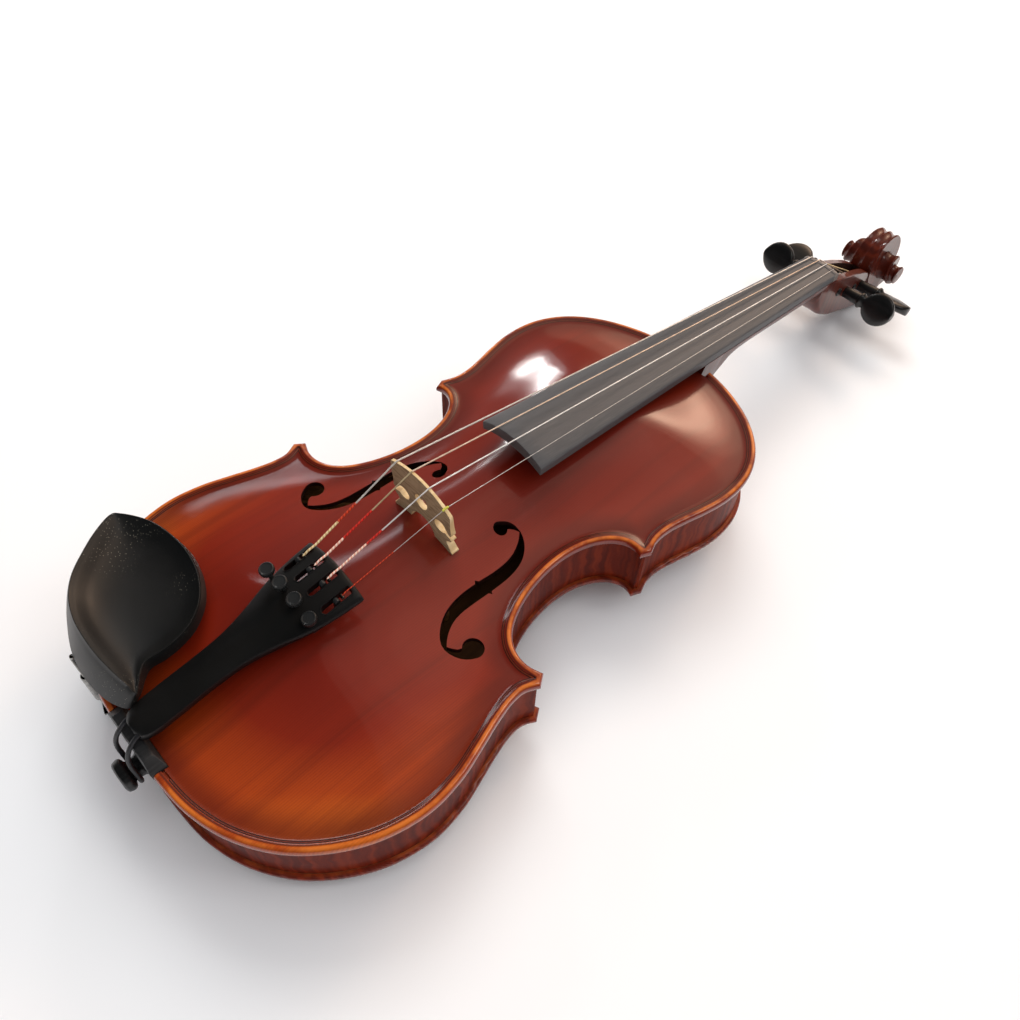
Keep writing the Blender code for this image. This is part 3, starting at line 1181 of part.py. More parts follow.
E = np.array([a for a, b in REST])
C = np.array([b for a, b in REST])
REST_C = np.array((-55.0, 38.0))


def inset(P, f, z):
    Q = P.copy()
    Q[:, :2] = REST_C + (P[:, :2] - REST_C) * f
    Q[:, 2] = z
    return Q


rings = [inset(C, 0.3, 16.0), inset(C, 0.62, 16.8 + (C[:, 2] - 21) * 0.1), inset(C, 0.9, C[:, 2] - 2.4), C, E,
         inset(E, 0.93, E[:, 2] - 0.8), inset(E, 0.6, 12.6), inset(E, 0.3, 12.4)]
V, F = loft(np.array(rings))
rest = put("chin_rest", V, F, COMPOSITE)
K0, K1 = 48.0, 88.0                    # span of the clamp along the edge of the plate
arcs = np.r_[0, np.cumsum(np.linalg.norm(np.diff(BOUT_L, axis=0), axis=1))]


def edge_at(d, s):
    Q = inward(BOUT_L, d)
    return np.array([-np.interp(s, arcs, Q[:, 0]), np.interp(s, arcs, Q[:, 1])])


def along(d, s0, s1, n):
    return np.array([edge_at(d, s) for s in np.linspace(s0, s1, n + 1)])


V, F = strip(along(3.0, 30, K1, 7), along(8.5, 30, K1, 7), 6.7, 14.2)
rail = put("cut_rest_rail", V, F, RAW, cutter=True)
boolean(rest, rail, 'UNION')
V, F = strip(along(2.6, 30, K1, 7), along(8.8, 30, K1, 7), 4.5, 6.4)
put("chin_rest_cork", V, F, CORK)
V, F = strip(along(0.8, K0 - 3, K1 + 3, 6), along(8.0, K0 - 3, K1 + 3, 6), -36.6, -35.45)
put("clamp_foot_cork", V, F, CORK)
V, F = strip(along(-6.0, K0 - 4, K1 + 4, 6), along(8.4, K0 - 4, K1 + 4, 6), -38.3, -36.9)
bracket = put("clamp_bracket", V, F, NICKEL, origin=(*edge_at(-3.7, (K0 + K1) / 2), -37.6))
for k, s in ((1, K0), (2, K1)):
    bx, by = edge_at(-3.7, s)
    V, F = lathe([(-37.6, 1.3), (-16.0, 1.3)], 12, (bx, by, 0), (0, 0, 1))
    boolean(bracket, put("cut_clamp_rod_%d" % k, V, F, RAW, cutter=True), 'UNION')
    V, F = lathe([(-12.0, 1.3), (11.6, 1.3)], 12, (bx, by, 0), (0, 0, 1))
    put("clamp_upper_screw_%d" % k, V, F, NICKEL)
    prof = [(-27.0, 1.6), (-27.0, 2.2), (-26.4, 2.5), (-6.6, 2.5), (-6.0, 2.2), (-6.0, 1.6)]
    rings = [[(bx + q * math.cos(t), by + q * math.sin(t), z) for z, q in prof] for t in np.arange(12) * math.pi / 6]
    rings.append(rings[0])
    V, F = loft(np.array(rings), False, False)
    put("clamp_barrel_%d" % k, V, F, NICKEL, origin=(bx, by, -16.5))

# ------------------------------------------- the violin lying on its back
pts = []
for ob in (back_plate, neck, pegbox, scroll):
    pts += [((v.co + ob.location) / MM)[1:3] for v in ob.data.vertices]
pts = sorted((y, z) for y, z in pts)
hull = []
for q in pts:
    while len(hull) > 1 and (hull[-1][0] - hull[-2][0]) * (q[1] - hull[-2][1]) <= (q[0] - hull[-2][0]) * (hull[-1][1] - hull[-2][1]):
        hull.pop()
    hull.append(q)
for a, b in zip(hull, hull[1:]):
    if a[0] < 230 < b[0]:
        break
TILT = -math.atan2(b[1] - a[1], b[0] - a[0])
print("rests at y", a, b, "tilt", math.degrees(TILT))
M = Matrix.Rotation(TILT, 4, 'X')
bpy.context.view_layer.update()
FRAME.matrix_world = M
low = (M @ Vector((0, a[0], a[1]))).z
ys = []
bpy.context.view_layer.update()
for ob in bpy.context.scene.objects:
    if ob.type in ('MESH', 'CURVE') and not ob.hide_render:
        for c in ob.bound_box:
            ys.append((ob.matrix_world @ Vector(c)))
# plan centre of the whole violin, from the evaluated shapes
dg = bpy.context.evaluated_depsgraph_get()
lo, hi = [1e9, 1e9], [-1e9, -1e9]
for ob in bpy.context.scene.objects:
    if ob.type in ('MESH', 'CURVE') and not ob.hide_render:
        ev = ob.evaluated_get(dg)
        me = ev.to_mesh()
        for v in me.vertices:
            w = ob.matrix_world @ v.co
            for k in (0, 1):
                lo[k], hi[k] = min(lo[k], w[k]), max(hi[k], w[k])
        ev.to_mesh_clear()
FRAME.matrix_world = Matrix.Translation((-(lo[0] + hi[0]) / 2, -(lo[1] + hi[1]) / 2, -low * MM)) @ M
bpy.context.view_layer.update()
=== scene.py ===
"""The looks of a full-size violin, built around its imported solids.

Lengths are in millimetres in the violin's own frame (x to the treble side, y
from the tail edge to the scroll, z up from the top's glue line) until W()
places them in the frame of the solids, in metres."""
import bpy
import bmesh
import json
import math
import numpy as np
from mathutils import Vector, Matrix, Quaternion
from mathutils.geometry import delaunay_2d_cdt


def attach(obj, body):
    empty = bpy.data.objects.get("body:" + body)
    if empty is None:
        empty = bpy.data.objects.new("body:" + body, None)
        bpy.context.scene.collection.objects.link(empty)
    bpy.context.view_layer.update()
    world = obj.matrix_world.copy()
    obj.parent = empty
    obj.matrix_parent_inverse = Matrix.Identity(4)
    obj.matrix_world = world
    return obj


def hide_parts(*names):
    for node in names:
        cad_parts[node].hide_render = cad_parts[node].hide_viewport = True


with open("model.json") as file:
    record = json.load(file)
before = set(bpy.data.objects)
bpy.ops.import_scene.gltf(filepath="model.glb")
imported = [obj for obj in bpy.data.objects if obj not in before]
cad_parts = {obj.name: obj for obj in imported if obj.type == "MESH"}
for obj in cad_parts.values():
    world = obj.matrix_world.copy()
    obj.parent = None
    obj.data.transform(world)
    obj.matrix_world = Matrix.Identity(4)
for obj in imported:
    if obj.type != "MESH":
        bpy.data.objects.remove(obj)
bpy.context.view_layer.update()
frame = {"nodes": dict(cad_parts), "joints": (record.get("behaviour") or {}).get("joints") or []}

MM = 0.001
GAP = 0.3


# ---------------------------------------------------------------- dimensions
BODY_LEN = 355.0               # length of the plates
LOWER_W, WAIST_W, UPPER_W = 208.0, 105.2, 164.6
RIB_H = 31.0                   # between the two glue lines
RIB_T = 1.2
OVERHANG = 2.5                 # plate edge past the ribs
EDGE_Z = 4.2                   # height of the edge crest
CHANNEL_Z = 3.2                # bottom of the fluting inside the edge
TOP_CROWN = 15.6               # crown of the top above the glue line
BACK_CROWN = 15.0
TOP_T, BACK_T = 2.8, 3.4       # plate thickness
PURF_OUT, PURF_IN, PURF_D = 3.6, 5.2, 1.8
LINING_T, LINING_H = 2.0, 7.5

STOP = 160.0                   # bridge, from the tail edge
NUT_Y = 485.0
BOARD_END = 215.0              # free end of the fingerboard
BOARD_W0, BOARD_W1 = 42.0, 24.0
BOARD_R = 42.0
BOARD_EDGE = 5.0
BOARD_NUT_Z = 1.6              # crown of the board at the nut
BOARD_SLOPE = 0.1275
NECK_ROOT = 349.0
BUTTON_R, BUTTON_C = 10.5, 357.0

# name, x at bridge, x at nut, height over the board end, radius, x at tailpiece
APEX = 158.95                  # line where the strings cross the bridge
STRINGS = (("g", -17.0, -8.25, 5.5, 0.42, -14.2),
           ("d", -6.0, -2.75, 5.0, 0.38, -4.75),
           ("a", 6.0, 2.75, 4.3, 0.34, 4.75),
           ("e", 17.0, 8.25, 3.5, 0.16, 14.2))
# pegs: string, distance past the nut, depth under the board plane, side, blade angle
PEGS = (("g", 17.0, 14.5, -1, 62.0),
        ("e", 29.3, 19.0, 1, 62.0),
        ("d", 44.0, 22.5, -1, 20.0),
        ("a", 56.0, 25.5, 1, -28.0))
PEG_HEAD_X, PEG_HEAD_R = 36.3, 10.7


# ------------------------------------------------------------------- curves
def resample(P, n, power=1.0):
    """n + 1 points along a polyline, evenly by length."""
    P = np.asarray(P, float)
    s = np.r_[0, np.cumsum(np.linalg.norm(np.diff(P, axis=0), axis=1))]
    t = np.linspace(0, 1, n + 1) ** power * s[-1]
    return np.stack([np.interp(t, s, P[:, k]) for k in range(P.shape[1])], 1)


def spline(points, n, before=None, after=None, sub=24):
    """Centripetal Catmull-Rom curve through the points."""
    P = [np.array(p, float) for p in points]
    P.insert(0, np.array(before, float) if before is not None else 2 * P[0] - P[1])
    P.append(np.array(after, float) if after is not None else 2 * P[-1] - P[-2])
    out = []
    for i in range(1, len(P) - 2):
        p0, p1, p2, p3 = P[i - 1:i + 3]
        t0 = 0.0
        t1 = t0 + np.linalg.norm(p1 - p0) ** 0.5
        t2 = t1 + np.linalg.norm(p2 - p1) ** 0.5
        t3 = t2 + np.linalg.norm(p3 - p2) ** 0.5
        for t in np.linspace(t1, t2, sub, endpoint=False):
            a1 = (t1 - t) / (t1 - t0) * p0 + (t - t0) / (t1 - t0) * p1
            a2 = (t2 - t) / (t2 - t1) * p1 + (t - t1) / (t2 - t1) * p2
            a3 = (t3 - t) / (t3 - t2) * p2 + (t - t2) / (t3 - t2) * p3
            b1 = (t2 - t) / (t2 - t0) * a1 + (t - t0) / (t2 - t0) * a2
            b2 = (t3 - t) / (t3 - t1) * a2 + (t - t1) / (t3 - t1) * a3
            out.append((t2 - t) / (t2 - t1) * b1 + (t - t1) / (t2 - t1) * b2)
    out.append(P[-2])
    return resample(out, n)


# outline of the plates, treble half: width stations of the three bouts
LW, CW, UW = LOWER_W / 2, WAIST_W / 2, UPPER_W / 2
LOWER_TIP, LOWER_TIP2 = (94.0, 146.2), (90.2, 151.6)
UPPER_TIP2, UPPER_TIP = (76.3, 230.0), (78.6, 235.6)
BOUT_L = spline([(0, 0), (20, 0.4), (40, 2.7), (60, 9.7), (78, 22), (91, 37.5), (100, 55.5), (LW, 76),
                 (102.2, 94), (97.8, 109), (93.6, 122), (91.2, 132), (91.0, 139.5), LOWER_TIP], 400, before=(-20, 0.4))
BOUT_C = spline([LOWER_TIP2, (84.0, 149.3), (77.5, 149.2), (71, 151.5), (65, 156.6), (59.6, 165.5), (55.4, 177),
                 (53.0, 189.5), (CW, 201.5), (54.3, 212.5), (57.6, 221), (62.3, 227.3), (67.5, 230.6),
                 (72.2, 231.2), UPPER_TIP2], 300)
BOUT_U = spline([UPPER_TIP, (75.9, 243), (75.6, 252), (77.6, 263), (80.4, 275), (UW, 288), (82.0, 300), (79.6, 311),
                 (74.6, 321.5), (67, 331), (55.5, 340.2), (41, 347.6), (26, 352.4), (12, 354.6), (0, BODY_LEN)],
                400, after=(-12, 354.6))
# the same outline with the corners faired away: the foot line of the arching
FAIR = spline([(0, 0), (40, 2.7), (78, 22), (100, 55.5), (LW, 78), (98, 104), (84, 128), (68, 151), (57, 175),
               (52.8, 200), (57.5, 221), (68, 243), (78.6, 267), (UW, 290), (79.6, 311), (67, 331), (41, 347.6),
               (0, BODY_LEN)], 260, before=(-40, 2.7), after=(-41, 347.6))


def fractions(P, tol):
    """Places along a curve, by length, where straight chords stay within tol."""
    s = np.r_[0, np.cumsum(np.linalg.norm(np.diff(P, axis=0), axis=1))]
    keep = {0, len(P) - 1}
    ends = [0, len(P) - 1] + [int(P[:, 0].argmax())]

    def split(a, b):
        if b - a < 2:
            return
        c = (P[b] - P[a]) / (np.linalg.norm(P[b] - P[a]) + 1e-12)
        w = P[a + 1:b] - P[a]
        h = np.abs(w[:, 0] * c[1] - w[:, 1] * c[0])
        k = int(h.argmax())
        if h[k] > tol:
            m = a + 1 + k
            keep.add(m)
            split(a, m)
            split(m, b)
    ends = sorted(set(ends))
    keep |= set(ends)
    for a, b in zip(ends, ends[1:]):
        split(a, b)
    return s[sorted(keep)] / s[-1]


def at(P, fr):
    """Points of a curve at given fractions of its length."""
    s = np.r_[0, np.cumsum(np.linalg.norm(np.diff(P, axis=0), axis=1))]
    return np.stack([np.interp(fr * s[-1], s, P[:, k]) for k in range(P.shape[1])], 1)


CHORD = 0.03
FL, FC, FU = fractions(BOUT_L, CHORD), fractions(BOUT_C, CHORD), fractions(BOUT_U, CHORD)


def inward(P, d):
    T = np.gradient(P, axis=0)
    T /= np.linalg.norm(T, axis=1)[:, None]
    return P + d * np.stack([-T[:, 1], T[:, 0]], 1)


def cross(a, b, ta=None):
    """First crossing of two polylines: index and fraction on each."""
    for i in range(len(a) - 1):
        p, r = a[i], a[i + 1] - a[i]
        q, s = b[:-1], b[1:] - b[:-1]
        den = r[0] * s[:, 1] - r[1] * s[:, 0]
        den = np.where(np.abs(den) < 1e-12, 1e-12, den)
        w = q - p
        t = (w[:, 0] * s[:, 1] - w[:, 1] * s[:, 0]) / den
        u = (w[:, 0] * r[1] - w[:, 1] * r[0]) / den
        k = np.nonzero((t >= 0) & (t <= 1) & (u >= 0) & (u <= 1))[0]
        if len(k):
            return i, k[0], p + t[k[0]] * r
    return None


def extend(P, e0=0.0, e1=0.0):
    out = [P]
    if e0:
        out.insert(0, (P[0] + (P[0] - P[2]) / np.linalg.norm(P[0] - P[2]) * e0)[None])
    if e1:
        out.append((P[-1] + (P[-1] - P[-3]) / np.linalg.norm(P[-1] - P[-3]) * e1)[None])
    return np.concatenate(out)


def offset_bouts(d, face=None):
    """The three bout curves moved in by d, trimmed where they mitre at a corner."""
    if d == 0:
        return BOUT_L, BOUT_C, BOUT_U
    face = d if face is None else face
    L, C, U = inward(BOUT_L, d), inward(BOUT_C, d), inward(BOUT_U, d)
    L[:, 0] = np.where(BOUT_L[:, 0] < 0.02, 0, L[:, 0])
    U[:, 0] = np.where(BOUT_U[:, 0] < 0.02, 0, U[:, 0])
    L, C, U = extend(L, 0, 14), extend(C, 14, 14), extend(U, 14, 0)

    def corner(A, B, f0, f1):
        f0, f1 = np.array(f0), np.array(f1)
        t = (f1 - f0) / np.linalg.norm(f1 - f0)
        n = np.array([-t[1], t[0]])
        F = np.array([f0 + n * face - t * 40, f1 + n * face + t * 40])
        ia, ib, im = cross(A[-60:], F), cross(F, B[:60]), cross(A[-60:], B[:60])
        if ia and ib and np.dot(ib[2] - ia[2], t) > 0.02:
            pa, pb = ia[2], ib[2]
            ka, kb = len(A) - 60 + ia[0] + 1, ib[1] + 1
        else:
            pa = pb = im[2]
            ka, kb = len(A) - 60 + im[0] + 1, im[1] + 1
        return np.vstack([A[:ka], pa]), np.vstack([pb, B[kb:]])
    L, C = corner(L, C, LOWER_TIP, LOWER_TIP2)
    C, U = corner(C, U, UPPER_TIP2, UPPER_TIP)
    return L, C, U


def loop(d, face=None):
    """Closed outline at distance d inside the edge, counterclockwise."""
    L, C, U = offset_bouts(d, face)
    half = np.vstack([at(L, FL), at(C, FC), at(U, FU)])
    other = half[1:-1][::-1] * [-1, 1]
    P = np.vstack([half, other])
    keep = [0]
    for i in range(1, len(P)):
        if np.linalg.norm(P[i] - P[keep[-1]]) > 0.05:
            keep.append(i)
    return P[keep]


def inside(P, poly):
    """Which points lie inside a closed polygon."""
    P, poly = np.atleast_2d(P), np.asarray(poly)
    x, y = P[:, 0][:, None], P[:, 1][:, None]
    a, b = poly, np.roll(poly, -1, 0)
    c = ((a[:, 1] > y) != (b[:, 1] > y)) & (x < (b[:, 0] - a[:, 0]) * (y - a[:, 1]) / (b[:, 1] - a[:, 1] + 1e-15) + a[:, 0])
    return (c.sum(1) % 2) == 1


def dist(P, poly):
    """Distance from points to a closed polygon's edge."""
    P, a = np.atleast_2d(P), np.asarray(poly)
    b = np.roll(a, -1, 0)
    out = np.full(len(P), 1e9)
    ab = b - a
    l2 = (ab ** 2).sum(1) + 1e-12
    for k in range(0, len(P), 2000):
        q = P[k:k + 2000][:, None, :] - a[None]
        t = np.clip((q * ab).sum(2) / l2, 0, 1)
        out[k:k + 2000] = np.sqrt(((q - t[..., None] * ab) ** 2).sum(2)).min(1)
    return out


# ------------------------------------------------------------------ arching
FAIR_LOOP = np.vstack([FAIR, FAIR[1:-1][::-1] * [-1, 1]])
EDGE_LOOP = np.vstack([BOUT_L[::8], BOUT_C[::6], BOUT_U[::8], (BOUT_U[8::8] * [-1, 1])[::-1][1:],
                       (BOUT_C[::6] * [-1, 1])[::-1], (BOUT_L[8::8] * [-1, 1])[::-1]])
ARCH_Y = [-40, 75, 130, 160, 200, 225, 260, 290, 400]
ARCH_W = [90, 90, 66, 50, 46.5, 49, 61, 70, 72]


def arch(P, crown):
    """Height of the arching over the channel: a cosine rise from the fluting
    to the crown, as wide as the bout it crosses."""
    d = np.where(inside(P, FAIR_LOOP), dist(P, FAIR_LOOP), 0.0)
    w = np.interp(P[:, 1], ARCH_Y, ARCH_W)
    s = 1 - np.clip((d - 6.0) / w, 0, 1)
    return (crown - CHANNEL_Z) * 0.5 * (1 + np.cos(math.pi * s))


def outer_z(P, crown):
    """Outside surface of a plate: rounded edge, crest, fluting, arching."""
    P = np.atleast_2d(P)
    e = dist(P, EDGE_LOOP)
    edge = np.where(e < 1.8, 3.0 + 1.2 * np.sqrt(np.clip(1 - (1 - e / 1.8) ** 2, 0, 1)),
                    CHANNEL_Z + (EDGE_Z - CHANNEL_Z) * 0.5 * (1 + np.cos(math.pi * np.clip((e - 1.8) / 5.2, 0, 1))))
    return edge + arch(P, crown)


def inner_z(P, crown, t):
    P = np.atleast_2d(P)
    e = dist(P, EDGE_LOOP)
    z = np.maximum(0.0, CHANNEL_Z + arch(P, crown) - t)
    z = np.where(e < 8.0, 0.0, z)
    return z + np.where(e < 1.5, 1.0 * (1 - e / 1.5), 0.0)


def f_hole(n):
    """Treble f-hole: two eyes joined by a swept stem, nicks at the bridge line."""
    up_eye, up_r, lo_eye, lo_r = np.array((23.0, 187.2)), 3.5, np.array((60.8, 136.4)), 5.1
    arc = lambda c, r, a0, a1, k: [c + r * np.array((math.cos(a), math.sin(a)))
                                   for a in np.radians(np.linspace(a0, a1, k))]
    q = max(1, n // 12)
    out = []
    out += list(spline([(29.6, 194.6), (33, 193.4), (36.6, 190.8), (40.0, 186.6), (42.3, 181.5), (43.7, 175),
                        (44.2, 168), (44.3, 162.4)], 4 * q))
    out += [np.array((45.7, 161.6)), np.array((44.3, 160.4))]
    out += list(spline([(44.3, 160.2), (44.3, 150), (44.5, 144.5), (45.6, 138.5), (48.0, 133.3), (50.6, 129.8),
                        (53.2, 127.3)], 3 * q))[1:]
    out += list(spline([(53.2, 127.3), (55.8, 129.2), (58.2, 131.8)], q))[1:-1]
    out += arc(lo_eye, lo_r, 232, -38, 4 * q)
    out += list(spline([(64.6, 132.6), (62.2, 129.3), (58.4, 126.8), (54.5, 125.6), (51.2, 125.9), (47.6, 128.0),
                        (43.6, 132.1), (40.2, 137.9), (38.3, 144), (37.4, 151), (37.3, 158.2)], 5 * q))
    out += [np.array((35.9, 159.4)), np.array((37.3, 160.6))]
    out += list(spline([(37.3, 160.8), (37.6, 170), (37.1, 178), (35.9, 183.4), (34.2, 187.4), (31.9, 191.2),
                        (29.4, 194.0)], 3 * q))[1:]
    out += list(spline([(29.4, 194.0), (27.2, 192.6), (25.2, 190.2)], q))[1:-1]
    out += arc(up_eye, up_r, 52, -215, 4 * q)
    out += list(spline([(20.4, 189.7), (22.2, 192.3), (25.2, 194.2), (29.6, 194.6)], 2 * q))[1:-1]
    P = []
    for p in out:
        if not P or np.linalg.norm(p - P[-1]) > 0.25:
            P.append(p)
    return np.array(P)


# ------------------------------------------------------------ board, strings
def board_hw(y):
    return BOARD_W1 / 2 + (BOARD_W0 - BOARD_W1) / 2 * (NUT_Y - y) / (NUT_Y - BOARD_END)


def board_crown(y):
    return BOARD_NUT_Z + BOARD_SLOPE * (NUT_Y - y)


def sag(x):
    return BOARD_R - math.sqrt(BOARD_R ** 2 - x * x)


def glue_z(y):
    """Top of the neck, where the fingerboard is glued."""
    return board_crown(y) - sag(board_hw(y)) - BOARD_EDGE


GLUE_NUT = glue_z(NUT_Y)
ALPHA = math.atan((glue_z(355) - GLUE_NUT) / (NUT_Y - 355))


def head(u, x, w):
    """Point in the head's own frame: u past the nut, w under the board plane."""
    return (x, NUT_Y + u * math.cos(ALPHA) - w * math.sin(ALPHA), GLUE_NUT - u * math.sin(ALPHA) - w * math.cos(ALPHA))


def nut_top(x):
    return board_crown(NUT_Y + 2) - sag(x) + 0.45


def string_line(s):
    """Centre of a string over the nut and over the bridge."""
    name, xb, xn, h, r, xt = s
    zn = nut_top(xn) + 0.15 + r
    x = xn + (xb - xn) * (NUT_Y + 2 - BOARD_END) / (NUT_Y + 2 - APEX)
    z = board_crown(BOARD_END) - sag(x) + h + r
    return zn, zn + (z - zn) * (NUT_Y + 2 - APEX) / (NUT_Y + 2 - BOARD_END)



# ------------------------------------------------------------ placing, meshes
JOINT = {j["name"]: j for j in frame["joints"]}
_ax = JOINT["clamp_barrel_1_turn"]["axis"]
TH = math.atan2(-_ax[1], _ax[2])
ROT = np.array(Matrix.Rotation(TH, 3, 'X'))
T0 = np.array(JOINT["peg_g_turn"]["pos_m"]) - ROT @ (np.array(head(PEGS[0][1], 0, PEGS[0][2])) * MM)


def W(P):
    """Violin frame in millimetres to the frame of the solids in metres."""
    return (np.asarray(P, float) * MM) @ ROT.T + T0


def raw_object(name, V, F, mats=(), fm=None, attrs=None, world=True):
    me = bpy.data.meshes.new(name)
    me.from_pydata((W(V) if world else np.asarray(V)).tolist(), [], [tuple(int(i) for i in f) for f in F])
    for m in mats:
        me.materials.append(m)
    if fm is not None:
        me.polygons.foreach_set("material_index", np.asarray(fm, np.int32))
    for k, v in (attrs or {}).items():
        a = me.attributes.new(k, 'FLOAT', 'POINT')
        a.data.foreach_set("value", np.asarray(v, np.float32))
    ob = bpy.data.objects.new(name, me)
    bpy.context.scene.collection.objects.link(ob)
    return ob


def clean(ob, dist=1e-6, flip=True):
    bm = bmesh.new()
    bm.from_mesh(ob.data)
    if dist:
        bmesh.ops.remove_doubles(bm, verts=bm.verts, dist=dist)
        bmesh.ops.dissolve_degenerate(bm, edges=bm.edges, dist=1e-7)
    if flip:
        bmesh.ops.recalc_face_normals(bm, faces=bm.faces)
        if bm.calc_volume(signed=True) < 0:
            bmesh.ops.reverse_faces(bm, faces=bm.faces)
    bm.to_mesh(ob.data)
    bm.free()


def smooth(ob, angle=35.0):
    ob.data.shade_smooth()
    ob.data.set_sharp_from_angle(angle=math.radians(angle))


def apply_mods(ob):
    dg = bpy.context.evaluated_depsgraph_get()
    me = bpy.data.meshes.new_from_object(ob.evaluated_get(dg), preserve_all_data_layers=True, depsgraph=dg)
    ob.modifiers.clear()
    ob.data = me


def boolean(ob, other, op='DIFFERENCE', remove=True):
    m = ob.modifiers.new("cut", 'BOOLEAN')
    m.operation, m.object, m.solver = op, other, 'EXACT'
    apply_mods(ob)
    if remove:
        bpy.data.objects.remove(other)
    return ob


def bevel(ob, width, segments=2, angle=30.0):
    m = ob.modifiers.new("bevel", 'BEVEL')
    m.width, m.segments, m.limit_method, m.angle_limit = width * MM, segments, 'ANGLE', math.radians(angle)
    m.harden_normals = False
    m.use_clamp_overlap = True
    apply_mods(ob)
    return ob


def show(ob, body, nodes=()):
    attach(ob, body)
    if nodes:
        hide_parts(*([nodes] if isinstance(nodes, str) else nodes))
    return ob


def piece(name, V, F, mats, body, nodes=(), fm=None, attrs=None, angle=35.0, weld=1e-6):
    ob = raw_object(name, V, F, mats if isinstance(mats, (list, tuple)) else [mats], fm, attrs)
    clean(ob, weld)
    smooth(ob, angle)
    return show(ob, body, nodes)


def loft(rings, cap0=True, cap1=True, close=False):
    """Skin through rings of equal count; close joins the last to the first."""
    R = np.asarray(rings, float)
    m, n = len(R), len(R[0])
    V = R.reshape(-1, 3)
    F = []
    for k in range(m if close else m - 1):
        a, b = k * n, ((k + 1) % m) * n
        for i in range(n):
            j = (i + 1) % n
            F.append((a + i, a + j, b + j, b + i))
    if not close:
        if cap0:
            F.append(tuple(range(n))[::-1])
        if cap1:
            F.append(tuple(range((m - 1) * n, m * n)))
    return V, F


def fan_caps(V, F, n, m):
    """Swap the two end faces of a loft for fans round a centre point."""
    V = np.asarray(V)
    F = [f for f in F if len(f) <= 4]
    c0, c1 = V[:n].mean(0), V[(m - 1) * n:m * n].mean(0)
    k = len(V)
    V = np.vstack([V, c0, c1])
    for i in range(n):
        j = (i + 1) % n
        F.append((j, i, k))
        F.append(((m - 1) * n + i, (m - 1) * n + j, k + 1))
    return V, F


def lathe(profile, n, centre, axis):
    c, a = np.array(centre, float), np.array(axis, float)
    a /= np.linalg.norm(a)
    h = np.array((0, 0, 1.0)) if abs(a[2]) < 0.9 else np.array((1.0, 0, 0))
    e1 = np.cross(a, h)
    e1 /= np.linalg.norm(e1)
    e2 = np.cross(a, e1)
    t = np.arange(n) * 2 * math.pi / n
    ring = np.cos(t)[:, None] * e1 + np.sin(t)[:, None] * e2
    V, F = loft([c + a * s + max(r, 1e-3) * ring for s, r in profile])
    return fan_caps(V, F, n, len(profile))


def rounded(profile, r=0.3, k=3):
    """Turned profile with its corners rounded by r."""
    P = [np.array(p, float) for p in profile]
    out = [P[0]]
    for a, b, c in zip(P, P[1:], P[2:]):
        u, v = a - b, c - b
        lu, lv = np.linalg.norm(u), np.linalg.norm(v)
        q = min(r, lu * 0.45, lv * 0.45)
        if q < 1e-4 or abs(np.dot(u, v) / (lu * lv)) > 0.995:
            out.append(b)
            continue
        p0, p1 = b + u / lu * q, b + v / lv * q
        for t in np.linspace(0, 1, k + 1):
            out.append((1 - t) ** 2 * p0 + 2 * t * (1 - t) * b + t * t * p1)
    out.append(P[-1])
    return out


def triangulate(pts, edges):
    out = delaunay_2d_cdt([Vector(p) for p in pts], edges, [], 0, 1e-6)
    return np.array([tuple(v) for v in out[0]]), [tuple(f) for f in out[2]]


def ring_edges(start, n):
    return [(start + i, start + (i + 1) % n) for i in range(n)]


def frames(P):
    """Tangents and a turning-free pair of normals along a path."""
    P = np.asarray(P, float)
    T = np.gradient(P, axis=0)
    T /= np.linalg.norm(T, axis=1)[:, None]
    h = np.array((1.0, 0, 0)) if abs(T[0][0]) < 0.9 else np.array((0, 0, 1.0))
    u = np.cross(T[0], h)
    u /= np.linalg.norm(u)
    U = [u]
    for k in range(1, len(P)):
        u = U[-1] - T[k] * np.dot(U[-1], T[k])
        U.append(u / np.linalg.norm(u))
    U = np.array(U)
    return T, U, np.cross(T, U)


def sweep(P, r, n=12):
    """Round tube along a path, with a radius for each of its points."""
    P = np.asarray(P, float)
    r = np.broadcast_to(np.asarray(r, float), (len(P),))
    T, U, B = frames(P)
    t = np.arange(n) * 2 * math.pi / n
    rings = P[:, None, :] + r[:, None, None] * (np.cos(t)[None, :, None] * U[:, None, :] + np.sin(t)[None, :, None] * B[:, None, :])
    V, F = loft(rings)
    s = np.r_[0, np.cumsum(np.linalg.norm(np.diff(P, axis=0), axis=1))]
    return V, F, np.repeat(s, n)


def cubic(x, xs, ys):
    """Smooth curve through stations (Hermite with averaged slopes)."""
    xs, ys = np.asarray(xs, float), np.asarray(ys, float)
    m = np.gradient(ys, xs)
    x = float(np.clip(x, xs[0], xs[-1]))
    k = int(min(len(xs) - 2, np.searchsorted(xs, x, side='right') - 1))
    h = xs[k + 1] - xs[k]
    t = (x - xs[k]) / h
    return float(ys[k] * (2 * t ** 3 - 3 * t ** 2 + 1) + ys[k + 1] * (3 * t ** 2 - 2 * t ** 3)
                 + h * (m[k] * (t ** 3 - 2 * t ** 2 + t) + m[k + 1] * (t ** 3 - t ** 2)))


